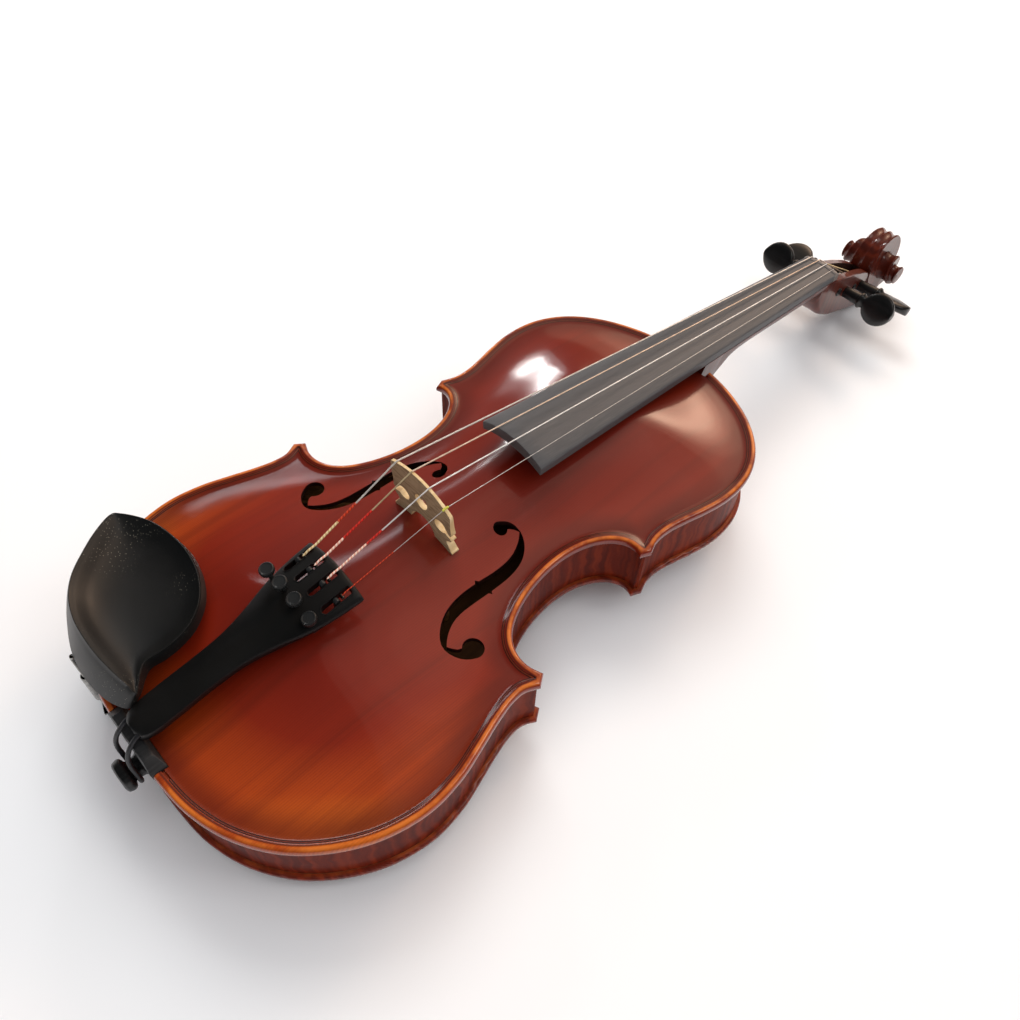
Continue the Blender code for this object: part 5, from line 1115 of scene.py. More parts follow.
# ribs, with a groove-free outside and the flame running up them
RO, RI = offset_bouts(OVERHANG, 2.0), offset_bouts(OVERHANG + RIB_T, 2.2)
run0 = 0.0
for label, o, i, fr in (("lower", RO[0], RI[0], FL), ("middle", RO[1], RI[1], FC), ("upper", RO[2], RI[2], FU)):
    o, i = at(o, fr), at(i, fr)
    if label == "lower":
        o[0], i[0] = (0.05, o[0][1]), (0.05, i[0][1])
    if label == "upper":
        k = o[:, 0] > 11.3
        o, i = o[k], i[k]
    run = run0 + np.r_[0, np.cumsum(np.linalg.norm(np.diff(o, axis=0), axis=1))]
    run0 += 400
    for side, s in (("treble", 1), ("bass", -1)):
        rings = [[(p[0] * s, p[1], -0.03), (p[0] * s, p[1], -RIB_H + 0.03), (q[0] * s, q[1], -RIB_H + 0.03), (q[0] * s, q[1], -0.03)]
                 for p, q in zip(o, i)]
        V, F = loft(rings)
        m = len(rings) - 1
        fm = [(0, 1, 1, 1)[j] for _ in range(m) for j in range(4)] + [0, 0]
        piece("rib_%s_%s" % (label, side), V, F, [VR, MAPLE_RAW], "violin", "rib_%s_%s" % (label, side), fm,
              {"run": np.repeat(run * s, 4)}, weld=0)

# ------------------------------------------------------------- neck and head
def neck_ring(y, hw, ztop, depth, hb, power, n=14):
    pts = []
    for a in np.linspace(0, math.pi, 2 * n + 1):
        c, s = math.cos(a), math.sin(a)
        f = abs(s) ** (2 / power)
        x = (hw + (hb - hw) * f) * math.copysign(abs(c) ** (2 / power), c)
        pts.append((x, y, ztop - depth * f))
    return pts


NB_Y = [300, 366.0, 367.2, 368.6, 371, 375, 380, 386, 395, 478, 500]
NB_Z = [-30.7, -30.7, -27.5, -23, -17.2, -12.0, -8.9, -7.0, -7.0, -17.3, -19.8]


def neck_bottom(y):
    if y < 368:
        return float(np.interp(y, NB_Y, NB_Z))
    w = min(2.5, y - 368)
    return float(np.mean(np.interp(y + np.linspace(-w, w, 9), NB_Y, NB_Z)))


rings = []
for y in [NECK_ROOT, 352, 355, 357.5, 360, 362, 364, 365.3, 366.2, 366.7, 367.2, 367.9, 368.6, 369.7, 371, 372.5, 374, 376, 378, 380, 383] + list(
        np.arange(387, 489, 6.0)) + [490.2]:
    zt = (glue_z(min(y, NUT_Y)) if y < NUT_Y else GLUE_NUT - (y - NUT_Y) * math.tan(ALPHA)) - 0.05
    heel = float(np.clip((376 - y) / 18, 0, 1))
    heel = heel * heel * (3 - 2 * heel) * 0.5 + heel * 0.5
    hw = board_hw(min(y, NUT_Y)) - 0.05
    hb = (10.2 if y < BUTTON_C else math.sqrt(max(10.2 ** 2 - (min(y, 366.2) - BUTTON_C) ** 2, 9)))
    hb = heel * hb + (1 - heel) * hw * 0.92
    rings.append(neck_ring(y, hw, zt, zt - neck_bottom(y), hb, 2.25 + 5 * heel))
V, F = loft(rings)
piece("neck", V, F, VN, "violin", "neck_scroll", angle=40)

FRONT_U = [-9, 5.4, 5.6, 20, 40, 55, 62, 66, 70, 76, 85]
FRONT_W = [0.5, 0.5, 1.2, 4.5, 9.8, 14.8, 18.0, 22.0, 27.5, 33, 35.5]
BACK_U = [-9, -8, -6, -3, 1, 6, 15, 30, 45, 60, 72, 85]
BACK_W = [13.2, 15.1, 18.8, 23.0, 26.4, 28.7, 32.0, 36.4, 41.0, 45.8, 49.0, 50.3]
SIDE_U = [-9, 0, 20, 40, 60, 72, 85]
SIDE_H = [11.6, 12.3, 11.8, 10.4, 8.6, 7.8, 7.2]
SC_U, SC_W = 85.0, 22.3


def pegbox_ring(u):
    f, b, h = np.interp(u, FRONT_U, FRONT_W), np.interp(u, BACK_U, BACK_W), np.interp(u, SIDE_U, SIDE_H)
    b -= 0.15
    q = 1.5 + 4.6 * max(0.0, 1 - (u + 9) / 20)
    side = [(-h + 0.5, f), (-h, f + 0.5), (-h, f + (b - q - f) * 0.5)]
    side += [(-h + q * (1 - math.cos(a)), b - 0.1 - q * (1 - math.sin(a))) for a in np.linspace(0, math.pi / 2, 8)[:-1]]
    out = list(side)
    for t in np.linspace(-1, 1, 17):
        out.append((t * (h - q), b - 0.1 - 0.95 * math.sin(math.pi * abs(t)) ** 2 * min(1.0, max(0.0, (u + 2) / 14))))
    out += [(-x, w) for x, w in side[::-1]]
    return [head(u, x, w) for x, w in out]


def cavity():
    def ring(u, grow=0.0):
        b, h = np.interp(u, BACK_U, BACK_W) - 6.0, np.interp(u, SIDE_U, SIDE_H) - 4.8
        return [head(u, -h, -6), head(u, -h * 0.86, b), head(u, h * 0.86, b), head(u, h, -6)]
    a, b = ring(8.0), ring(62.5)
    a = [head(6.6, a[0][0], -6), head(11.0, a[1][0], 24.5), head(11.0, a[2][0], 24.5), head(6.6, a[3][0], -6)]
    b = [head(62.0, b[0][0], -6), head(62.0, b[1][0], 33), head(62.0, b[2][0], 33), head(62.0, b[3][0], -6)]
    V, F = loft([a, ring(22), ring(38), ring(53), b])
    ob = raw_object("cutter", V, F, [PEGBOX_IN, PEGBOX_IN], [1] * len(F))
    clean(ob)
    return ob


def shaft_r(x):
    return 3.75 + 0.033 * (x - 12)


PEG_AXIS = {p[0]: np.array(head(p[1], 0, p[2])) for p in PEGS}
PEG_SIDE = {p[0]: p[3] for p in PEGS}
V, F = loft([pegbox_ring(u) for u in [-9, -7.5, -6, -4, -2, 0, 2, 4, 5.4, 5.7, 8] + list(np.arange(11, 60, 3.0)) + [60, 62, 64, 66, 68, 70, 73, 76, 80, 85]])
pegbox = raw_object("pegbox", V, F, [VN, PEGBOX_IN])
clean(pegbox)
boolean(pegbox, cavity())
for n, side in PEG_SIDE.items():
    V, F = lathe([(-20, shaft_r(-20) + 0.12), (20, shaft_r(20) + 0.12)], 32, PEG_AXIS[n], (side, 0, 0))
    c = raw_object("cutter", V, F, [PEGBOX_IN, PEGBOX_IN], [1] * len(F))
    clean(c)
    boolean(pegbox, c)
smooth(pegbox, 32)
show(pegbox, "violin", "neck_scroll")

SPIRAL_T = np.array([0, 0.5, 1, 1.5, 2, 2.5, 3, 3.5, 4, 4.5]) * math.pi
SPIRAL_R = [28.2, 22.3, 22.9, 18.6, 14.8, 12.6, 11.0, 9.2, 7.7, 6.4]
SPIRAL_X = [7.2, 6.6, 6.9, 8.6, 10.8, 13.2, 15.2, 17.3, 19.2, 21.0]


def volute(n, k, flute):
    """One long turn of wood wound inwards while it steps out to the eyes."""
    total = int(round(2.25 * n))
    R = lambda i: cubic(2 * math.pi * min(i, total) / n, SPIRAL_T, SPIRAL_R) - 0.15
    X = lambda i: cubic(2 * math.pi * min(i, total) / n, SPIRAL_T, SPIRAL_X)
    V, F, rows = [], [], {}

    def add(r, x, i):
        a = 2 * math.pi * i / n
        V.append(head(SC_U + r * math.sin(a), x, SC_W + r * math.cos(a)))
        return len(V) - 1
    for i in range(total + n + 1):
        for s in (1, -1):
            x0, x1 = (X(i - n) if i >= n else 0.0), X(i)
            dip = flute * min(1.0, (x1 - x0) / 4.0)
            row = []
            for j in range(k + 1):
                if i < n and j == 0 and s < 0:
                    row.append(rows[1, i][0])
                    continue
                f = j / k
                d = dip * math.sin(math.pi * min(1, f / 0.86)) * (1 if i < n + n // 4 or x1 - x0 > 0.3 else 0)
                d += 0.55 * max(0.0, (f - 0.86) / 0.14) ** 1.5
                row.append(add(R(i) - d, s * (x0 + (x1 - x0) * f), i))
            rows[s, i] = row
    mid = add(R(n), 0.0, n)
    for s in (1, -1):
        def face(*f):
            F.append(f if s > 0 else f[::-1])
        for i in range(total + n):
            A, B = rows[s, i], rows[s, i + 1]
            for j in range(k):
                face(A[j], A[j + 1], B[j + 1], B[j])
            if i == n - 1:
                face(A[0], B[0], mid)
            if i < total:
                C, D = rows[s, i + n], rows[s, i + n + 1]
                face(A[k], C[0], D[0], B[k])
        eye = add(0.0, s * (X(total) + 0.0), 0)
        for i in range(total, total + n):
            face(rows[s, i][k], eye, rows[s, i + 1][k])
    a, b, c, d = rows[1, 0], rows[-1, 0], rows[1, n], rows[-1, n]
    F.append(tuple([*b[:0:-1], *a, c[0], mid, d[0]]))
    return V, F


V, F = volute(64, 14, 1.15)
scroll = raw_object("scroll", V, F, [VN, PEGBOX_IN])
clean(scroll)
boolean(scroll, cavity())
smooth(scroll, 40)
show(scroll, "violin", "neck_scroll")

# --------------------------------------------------------------- fingerboard
rings = []
nb = 28
ys = [BOARD_END, BOARD_END + 0.15, BOARD_END + 0.5, 225, 240, 255, 270, 285, 300, 315, 330, 342, 350.5, 352.5, 353.5, 370, 390, 410, 430, 450, 470, NUT_Y - 0.02]
for y in ys:
    hw, zc = board_hw(y), board_crown(y)
    q = {BOARD_END: 0.35, BOARD_END + 0.15: 0.12}.get(y, 0.0)
    ts = np.linspace(-1, 1, nb + 1)
    top = [((hw - 0.3 - q) * t, y, zc - q - sag((hw - 0.3) * t)) for t in ts]
    top = [(-hw + q, y, zc - sag(hw) - 2.2), (-hw + q, y, zc - sag(hw) - 0.45), (-hw + 0.1 + q, y, zc - sag(hw) - 0.15 - q)] + top + [
        (hw - 0.1 - q, y, zc - sag(hw) - 0.15 - q), (hw - q, y, zc - sag(hw) - 0.45), (hw - q, y, zc - sag(hw) - 2.2)]
    zb = glue_z(y) + 0.02
    hollow = 1.0 if y <= 351 else (0.0 if y > 353 else 0.5)
    bot = [((hw - 0.25 - q) * t, y, zb + hollow * max(0.0, 1 - abs(t) ** 2.2) * (zc - 6.2 - zb)) for t in ts[::-1]]
    rings.append(top + bot)
V, F = loft(rings)
piece("fingerboard", V, F, EBONY_BOARD, "violin", "fingerboard", angle=34)

# nut, with a low groove under each string
rings = []
for y, dz in ((NUT_Y + 0.02, -0.35), (NUT_Y + 0.5, -0.05), (NUT_Y + 1.4, 0.05), (NUT_Y + 2.4, -0.05), (NUT_Y + 3.1, -0.4), (NUT_Y + 3.8, -1.2), (NUT_Y + 4.4, -2.2), (NUT_Y + 4.8, -3.2)):
    zb = GLUE_NUT - (y - NUT_Y) * math.tan(ALPHA) + 0.05
    top = []
    for t in np.linspace(-1, 1, 81):
        x = 12.0 * t
        g = sum(math.exp(-((x - s[2]) / (s[4] + 0.35)) ** 4) for s in STRINGS)
        top.append((x, y, nut_top(x) + dz + 0.4 * (1 - min(1, g)) - 0.5 * max(0, abs(t) - 0.94) / 0.06))
    rings.append(top + [(12.0, y, zb), (-12.0, y, zb)])
V, F = loft(rings)
piece("nut", V, F, BONE_M, "violin", "nut", angle=40)

# saddle
SW0, SW1 = 18.5, 13.5
ring = lambda z, h, a, b: [(-h, a, z), (h, a, z), (h, b, z), (-h, b, z)]
V, F = loft([ring(0.15, SW0, 0.1, 7.3), ring(4.4, SW0, -0.15, 7.3), ring(8.2, SW1, 0.4, 5.6), ring(8.8, SW1 - 0.5, 1.6, 4.6)])
ob = raw_object("saddle", V, F, [EBONY_SADDLE])
clean(ob)
bevel(ob, 0.35, 3, 15)
smooth(ob, 30)
show(ob, "violin", "saddle")

# ------------------------------------------------------ end button, tail cord
BUT_Z = -15.0
V, F = lathe(rounded([(16.0, 0.001), (16.0, 3.0), (2.6, 3.6), (2.1, 3.6), (2.1, 6.2), (0.2, 6.4), (-1.4, 5.0), (-5.6, 4.6), (-6.6, 7.2),
                      (-8.0, 7.8), (-10.4, 7.2), (-11.15, 5.6), (-11.15, 0.001)], 0.7, 4), 64, (0, 0, BUT_Z), (0, 1, 0))
piece("end_button", V, F, EBONY_FIT, "violin", "end_button", angle=50)
route = [(4.6, 15.0, 15.2), (4.6, 9.5, 14.36), (4.6, 4.4, 13.6), (4.7, 1.4, 11.4), (4.9, -1.2, 8.6), (5.1, -3.2, 4.6),
         (5.5, -4.2, -1.5), (5.95, -4.25, -9.0), (6.1, -4.25, BUT_Z), (4.35, -4.25, BUT_Z - 4.35), (0, -4.25, BUT_Z - 6.15)]
V, F, run = sweep(spline(route + [(-x, y, z) for x, y, z in route[:-1]][::-1], 150), 1.08, 14)
piece("tail_cord", V, F, CORD_M, "violin", "tail_cord", attrs={"run": run}, angle=60, weld=0)

# ----------------------------------------------------------------- tailpiece
TP_Y = [4.0, 6.0, 10, 20, 40, 55, 68, 82, 96, 109.0]
TP_HW = [4.5, 6.8, 8.2, 8.7, 8.7, 9.6, 12.6, 16.9, 19.3, 20.4]


def tp_crown(y):
    return 17.0 + 16.0 * (y - 4) / 105.0


def tp_hw(y):
    return cubic(y, TP_Y, TP_HW)


def tp_drop(y):
    return cubic(y, [4, 40, 70, 109], [3.0, 3.4, 4.6, 6.4])


def tp_top(x, y):
    return tp_crown(y) - tp_drop(y) * min(1.0, abs(x) / tp_hw(y)) ** 1.8


rings = []
ys = [4.0, 4.3, 4.9, 6.0, 7.5, 10] + list(np.arange(13, 107.5, 2.5)) + [107.6, 108.4, 108.85, 109.0]
for y in ys:
    hw = tp_hw(y)
    end = max(0.0, (y - 107.6) / 1.4) ** 2 * 0.9 + max(0.0, (5.0 - y) / 1.0) ** 2 * 0.5
    top = [(-hw + 0.02, y, tp_top(hw, y) - 1.3)]
    for t in np.linspace(-1, 1, 41):
        q = 0.75 * max(0.0, (abs(t) - 0.93) / 0.07) ** 2
        top.append((hw * t * (1 - 0.012 * (abs(t) > 0.99)), y, tp_top(hw * t, y) - end - q))
    top.append((hw - 0.02, y, tp_top(hw, y) - 1.3))
    under = [((hw - 0.8) * t, y, tp_top(hw * t, y) - (3.4 if y > 80 else 3.4 + 0.8 * min(1, (80 - y) / 10)) + end * 0.8) for t in np.linspace(-1, 1, 21)[::-1]]
    rings.append(top + under)
V, F = loft(rings)
tail = raw_object("tailpiece", V, F, [MOULDED, MOULDED])
clean(tail)
TUNER_Y, PIVOT_Y = 85.0, 98.5
TP_PITCH = math.atan(16.0 / 105.0)
UP = np.array((0, -math.sin(TP_PITCH), math.cos(TP_PITCH)))
ALONG = np.array((0, math.cos(TP_PITCH), math.sin(TP_PITCH)))
for s in STRINGS:
    xt = s[5]
    a = np.radians(np.linspace(180, 360, 13))
    plan = [(xt + 1.7 * math.cos(t), 92.7 + 1.7 * math.sin(t)) for t in a] + [(xt + 1.7, 106.3), (xt + 1.4, 106.6), (xt - 1.4, 106.6), (xt - 1.7, 106.3)]
    V, F = loft([[(x, y, 10) for x, y in plan], [(x, y, 50) for x, y in plan]])
    c = raw_object("cutter", V, F, [MOULDED, MOULDED])
    clean(c)
    boolean(tail, c)
    V, F = lathe([(-9, 1.5), (9, 1.5)], 24, (xt, TUNER_Y, tp_top(xt, TUNER_Y)), UP)
    c = raw_object("cutter", V, F, [MOULDED, MOULDED])
    clean(c)
    boolean(tail, c)
for s in (1, -1):
    V, F = lathe([(-6, 1.3), (16, 1.3)], 24, (4.6 * s, 3.0, 13.37), (0, 1, 0.1527))
    c = raw_object("cutter", V, F, [MOULDED, MOULDED])
    clean(c)
    boolean(tail, c)
smooth(tail, 32)
show(tail, "violin", "tailpiece")
# raised rim round each slot
for s in STRINGS:
    n, xt = s[0], s[5]
    a = np.radians(np.linspace(180, 360, 13))
    plan = [(xt - 1.95, y) for y in np.linspace(106.2, 93, 8)] + [(xt + 1.95 * math.cos(t), 92.7 + 1.95 * math.sin(t)) for t in a] + [(xt + 1.95, y) for y in np.linspace(93, 106.2, 8)]
    P = [(x, y, tp_top(x, y) - 0.05) for x, y in plan]
    V, F, run = sweep(P, 0.3, 8)
    piece("slot_rim_" + n, V, F, MOULDED, "violin", "tailpiece", angle=60, weld=0)

KNOB_H = {"g": 8.0, "d": 5.0, "a": 2.6, "e": 1.2}
for s in STRINGS:
    n, xt = s[0], s[5]
    base = np.array((xt, TUNER_Y, tp_top(xt, TUNER_Y)))
    h = KNOB_H[n]
    V, F = lathe(rounded([(-4.95, 0.001), (-4.9, 0.8), (-4.5, 1.15), (h, 1.15), (h, 3.0), (h + 0.3, 3.45), (h + 2.4, 3.45), (h + 2.85, 3.0), (h + 2.55, 2.5), (h + 2.5, 0.001)], 0.25, 3), 96, base, UP)
    # fine knurl on the rim
    k = 96
    m = (len(V) - 2) // k
    Q = np.array(V[:-2]).reshape(m, k, 3)
    axis = base + UP * ((Q - base) @ UP)[..., None]
    rad = Q - axis
    r = np.linalg.norm(rad, axis=2)
    lobes = 1 + np.where(r > 3.3, 0.028, 0.0) * np.sign(np.sin(np.arange(k) * 2 * math.pi * 24 / k + 0.1))[None, :]
    V = np.vstack([(axis + rad * lobes[..., None]).reshape(-1, 3), V[-2:]])
    piece("tuner_screw_" + n, V, F, MOULDED_KNOB, "tuner_screw_" + n, "tuner_screw_" + n, angle=40)
    # lever
    p = np.array((xt, PIVOT_Y, tp_top(xt, PIVOT_Y))) - UP * 6.0
    side = spline([(-15.45, -1.1), (-15.4, -2.3), (-2.0, -2.65), (1.5, -2.35), (2.15, -0.8), (1.85, 2.0), (1.35, 6.1), (0.4, 6.8), (-0.95, 6.1),
                   (-1.55, 1.6), (-3.0, -1.05), (-15.0, -1.05)], 60)
    V, F = loft([[p + ALONG * a + UP * b + np.array((dx, 0, 0)) for a, b in side] for dx in (-1.1, 1.1)])
    ob = raw_object("tuner_lever_" + n, V, F, [MOULDED_KNOB])
    clean(ob)
    bevel(ob, 0.2, 2, 40)
    # bore for the pivot pin
    V, F = lathe([(-3, 0.68), (3, 0.68)], 24, p, (1, 0, 0))
    c = raw_object("cutter", V, F, [MOULDED_KNOB])
    clean(c)
    boolean(ob, c)
    smooth(ob, 35)
    show(ob, "tuner_lever_" + n, "tuner_lever_" + n)
    # pivot pin through the lever
    V, F = lathe(rounded([(-1.65, 0.001), (-1.65, 0.55), (1.65, 0.55), (1.65, 0.001)], 0.1), 24, p + UP * 0.0, (1, 0, 0))
    piece("tuner_pin_" + n, V, F, NICKEL_M, "violin", "tailpiece")

# ---------------------------------------------------- strings and their pegs
WIND = {"g": (-5.6, -1.6), "d": (-4.0, -0.6), "a": (0.4, 3.0), "e": (1.8, 5.0)}
BRIDGE_Z = {}
SILKS = {"g": [(0.0, 0.36, SILK_CREAM), (0.36, 0.55, SILK_ORANGE)], "d": [(0.0, 0.29, SILK_PINK), (0.29, 0.58, SILK_RED)],
         "a": [(0.0, 0.38, SILK_PINK), (0.38, 0.53, SILK_RED), ], "e": [(0.0, 0.5, SILK_ORANGE)]}
AFTER = {"g": STEEL_WOUND, "d": GOLD_M, "a": WHITE_M, "e": STEEL_PLAIN}
OVER = {"g": STEEL_WOUND, "d": COPPER_M, "a": WHITE_M, "e": STEEL_PLAIN}
PEG_SILK = {"g": STEEL_WOUND, "d": COPPER_M, "a": SILK_CREAM, "e": STEEL_PLAIN}


def densify(P, step=1.0):
    P = np.asarray(P, float)
    out = [P[0]]
    for a, b in zip(P, P[1:]):
        k = max(1, int(np.linalg.norm(b - a) / step))
        out += [a + (b - a) * t for t in np.linspace(0, 1, k + 1)[1:]]
    return np.array(out)


def span(P, a, b):
    """Stretch of a path between two distances along it."""
    s = np.r_[0, np.cumsum(np.linalg.norm(np.diff(P, axis=0), axis=1))]
    t = np.r_[a, s[(s > a + 0.05) & (s < b - 0.05)], b]
    return np.stack([np.interp(t, s, P[:, k]) for k in range(3)], 1)


def tube(name, P, r, mat, body, node, n=12, taper=0.0):
    P = np.asarray(P)
    rr = np.full(len(P), r)
    if taper:
        rr[0] = rr[-1] = r - taper
    V, F, run = sweep(P, rr, n)
    t = np.tile(np.arange(n) / n * 2.0, len(P))
    return piece(name, V, F, mat, body, node, attrs={"run": run, "turn": t}, angle=60, weld=0)


for s in STRINGS:
    n, xb, xn, h, r, xt = s
    zn, zb = string_line(s)
    BRIDGE_Z[n] = zb
    side = PEG_SIDE[n]
    cx, cy, cz = PEG_AXIS[n]
    w0, w1 = WIND[n]
    rin = max(shaft_r(side * w0), shaft_r(side * w1)) + 0.15
    rout = rin + 2 * r
    pitch = 2 * r * 1.04
    turns = max(2, int((w1 - w0 - 2 * r) / pitch))
    x0 = (w0 + w1) / 2 - turns * pitch / 2
    t = np.linspace(0, turns * 2 * math.pi, 40 * turns)
    P = np.c_[x0 + pitch * t / (2 * math.pi), cy + (rin + r - 0.05) * np.cos(t), cz + (rin + r - 0.05) * np.sin(t)]
    tube("string_winding_" + n, P, r * 0.98, STEEL_WOUND if n != "e" else STEEL_PLAIN, "peg_" + n, "string_winding_" + n, 10)
    ny, nz = NUT_Y + 3.2, zn - 0.15
    rho = rout + r + 0.12
    dy, dz = cy - ny, cz - nz
    D = math.hypot(dy, dz)
    a0, b0 = math.atan2(dz, dy), math.asin(rho / D)
    tt = math.sqrt(D * D - rho * rho)
    ty, tz = ny + tt * math.cos(a0 + b0), nz + tt * math.sin(a0 + b0)
    xw = w1 - r - 0.1 if side < 0 else w0 + r + 0.1
    slope = (zb - zn) / (APEX - NUT_Y - 2)
    ztp = tp_top(xt, 107.9) + 0.32 + r
    A = [(xt, 101.4, tp_top(xt, 101.4) - 0.2), (xt, 104.5, (tp_top(xt, 101.4) + ztp) / 2 + 0.4), (xt, 107.4, ztp - 0.02), (xt, 108.6, ztp + 0.2)]
    A += [(xt + (xb - xt) * f, 108.6 + (APEX - 0.8 - 108.6) * f, ztp + 0.2 + (zb - 0.14 - ztp - 0.2) * f) for f in (0.5, 1.0)]
    A += [(xb, APEX, zb)]
    B = [(xb, APEX, zb), (xb + (xn - xb) / 325, APEX + 1.2, zb + slope * 1.2)]
    B += [(xb + (xn - xb) * f, APEX + (NUT_Y + 2 - APEX) * f, zb + (zn - zb) * f) for f in (0.33, 0.66, 0.99, 1.0)]
    B += [(xn, ny, nz)]
    Cc = [(xn, ny, nz), (xn + (xw - xn) * 0.12, ny + (ty - ny) * 0.12, nz + (tz - nz) * 0.12), (xw, ty, tz)]
    A, B, Cc = densify(A, 1.0), densify(B, 3.0), densify(Cc, 1.0)
    steel = STEEL_PLAIN if n == "e" else STEEL_WOUND
    tube("string_%s_speaking" % n, B, r * 0.97, OVER[n], "violin", "string_" + n, 14)
    L = np.linalg.norm(np.diff(A, axis=0), axis=1).sum()
    last = 0.0
    for k, (f0, f1, mat) in enumerate(SILKS[n]):
        a, b = f0 * L, (f1 * L if f1 < 1.0 else L - 4.5)
        tube("string_%s_silk_%d" % (n, k), span(A, a, b), r + (0.08 if n == "e" else 0.14), mat, "violin", "string_" + n, 14, 0.1)
        last = b
    tube("string_%s_after" % n, span(A, max(0, last - 1.0), L), r * 0.97, AFTER[n], "violin", "string_" + n, 14)
    tube("string_%s_peg_end" % n, Cc, r * 1.0 + 0.03, PEG_SILK[n], "violin", "string_" + n, 12)
    # ball at the tuner
    V, F = lathe(rounded([(-1.3, 0.001), (-1.3, 0.85), (1.3, 0.85), (1.3, 0.001)], 0.35), 24, (xt, 101.85, tp_top(xt, 101.85) - 0.6), (1, 0, 0))
    piece("string_%s_ball" % n, V, F, BALL_M, "violin", "string_" + n)

for name, u, w, side, blade in PEGS:
    c = PEG_AXIS[name]
    th = math.radians(blade)
    e1, e2 = np.array((0, math.cos(th), math.sin(th))), np.array((0, -math.sin(th), math.cos(th)))
    tip = -(float(np.interp(u, SIDE_U, SIDE_H)) + 0.8)
    secs = [(tip, shaft_r(tip) - 0.6, shaft_r(tip) - 0.6), (tip + 0.5, shaft_r(tip) - 0.1, shaft_r(tip) - 0.1), (tip + 1.2, shaft_r(tip), shaft_r(tip)),
            (22.2, shaft_r(22.2), shaft_r(22.2)), (22.5, 4.6, 4.6), (22.9, 5.1, 5.1), (23.5, 5.25, 5.25), (24.2, 5.1, 5.1), (24.7, 4.6, 4.6), (25.2, 4.2, 3.95)]
    for q in (-0.93, -0.86, -0.75, -0.6, -0.4, -0.2, 0.0, 0.2, 0.4, 0.6, 0.75, 0.86, 0.93, 0.975):
        a = PEG_HEAD_R * math.sqrt(1 - q * q)
        secs.append((PEG_HEAD_X + PEG_HEAD_R * q, max(a, 2.6), 3.55 - 0.45 * abs(q) + (0.2 if q < -0.5 else 0)))
    secs += [(PEG_HEAD_X + PEG_HEAD_R * 0.995, 1.2, 1.9), (PEG_HEAD_X + PEG_HEAD_R, 0.3, 0.6)]
    t = np.arange(48) * 2 * math.pi / 48

    def sup(a, b, p):
        c_, s_ = np.cos(t), np.sin(t)
        return np.sign(c_) * abs(c_) ** p * a, np.sign(s_) * abs(s_) ** p * b
    rings = []
    for x, a, b in secs:
        X, Y = sup(a, b, 1.0 if x < 25 else 0.86)
        rings.append(c + np.array((side * x, 0, 0)) + X[:, None] * e1 + Y[:, None] * e2)
    V, F = loft(rings)
    V, F = fan_caps(V, F, 48, len(rings))
    piece("peg_" + name, V, F, EBONY_PEG, "peg_" + name, "peg_" + name, angle=42)

# -------------------------------------------------------------------- bridge
BR_Y0 = 158.2


def bridge_top(x):
    xs = [-21.7] + [s[1] for s in STRINGS] + [20.4]
    lift = {"g": 0.42, "d": 0.38, "a": 0.34, "e": 0.90}
    zs = [BRIDGE_Z[s[0]] - lift[s[0]] - 0.28 for s in STRINGS]
    return cubic(x, xs, [zs[0] - 2.0] + zs + [zs[-1] - 2.4])


FOOT_X = np.linspace(-24, 24, 97)
FOOT_Z = np.max([over(np.c_[FOOT_X, np.full(97, BR_Y0 + d)], TOP_CROWN) for d in (0.0, 2.2, 4.4)], axis=0) + 0.05


def foot(x):
    return float(np.interp(x, FOOT_X, FOOT_Z))


def round_corners(P, times=2, f=0.22):
    P = np.asarray(P, float)
    for _ in range(times):
        Q = np.roll(P, -1, 0)
        P = np.stack([P + (Q - P) * f, P + (Q - P) * (1 - f)], 1).reshape(-1, 2)
    return P


def bridge_outline():
    z0 = foot(15)
    sole = [(x, foot(x)) for x in (9.1, 10.6, 13.0, 15, 17.0, 19, 20.9)]
    kid = [(13.2 + 4.1 * math.cos(a), z0 + 13.7 + 3.6 * math.sin(a)) for a in np.radians(np.linspace(-38, -342, 21))]
    up = ([(21.3, foot(20.8) + 1.5), (20.2, foot(20.8) + 2.2), (18.9, z0 + 3.4), (17.7, z0 + 4.6), (17.3, z0 + 5.6), (17.5, z0 + 6.6),
           (18.8, z0 + 7.6), (20.4, z0 + 8.5), (20.9, z0 + 9.3), (20.7, z0 + 10.1), (19.6, z0 + 10.6), (18.2, z0 + 10.9)] + kid
          + [(19.2, z0 + 12.3), (20.7, z0 + 12.7), (21.0, z0 + 13.6), (20.8, z0 + 15.4), (20.5, z0 + 18.0), (20.55, z0 + 22.0), (20.6, z0 + 25.0)])
    inner = [(8.7, z0 + 0.8), (8.5, z0 + 2.4), (7.6, z0 + 4.6), (6.4, z0 + 6.1), (4.8, z0 + 7.4), (2.6, z0 + 8.4), (0.0, z0 + 8.8)]
    right = inner[::-1] + sole + up
    left = [(-x - 1.2 * min(1.0, max(0.0, (z - z0 - 15) / 9)), z) for x, z in right[1:]]
    top = [(x, bridge_top(x)) for x in np.linspace(20.2, -21.5, 31)]
    k = len(inner)
    left = [(x, foot(x) if k - 1 <= i < k - 1 + len(sole) else z) for i, (x, z) in enumerate(left)]
    return round_corners(right + top + left[::-1], 2, 0.2)


def heart_halves(z0):
    """Heart cut out as two leaning ovals that meet in a point below."""
    P = []
    for t in np.arange(56) * 2 * math.pi / 56:
        x = 4.3 * math.sin(t) * (1 - 0.16 * math.cos(t + math.pi))
        y = 4.3 * math.cos(t) - (2.2 * math.exp(-(x / 1.3) ** 2) if math.cos(t) > 0 else 0.0) + 0.5
        P.append((x, z0 - 0.8 + y))
    return np.array(P)


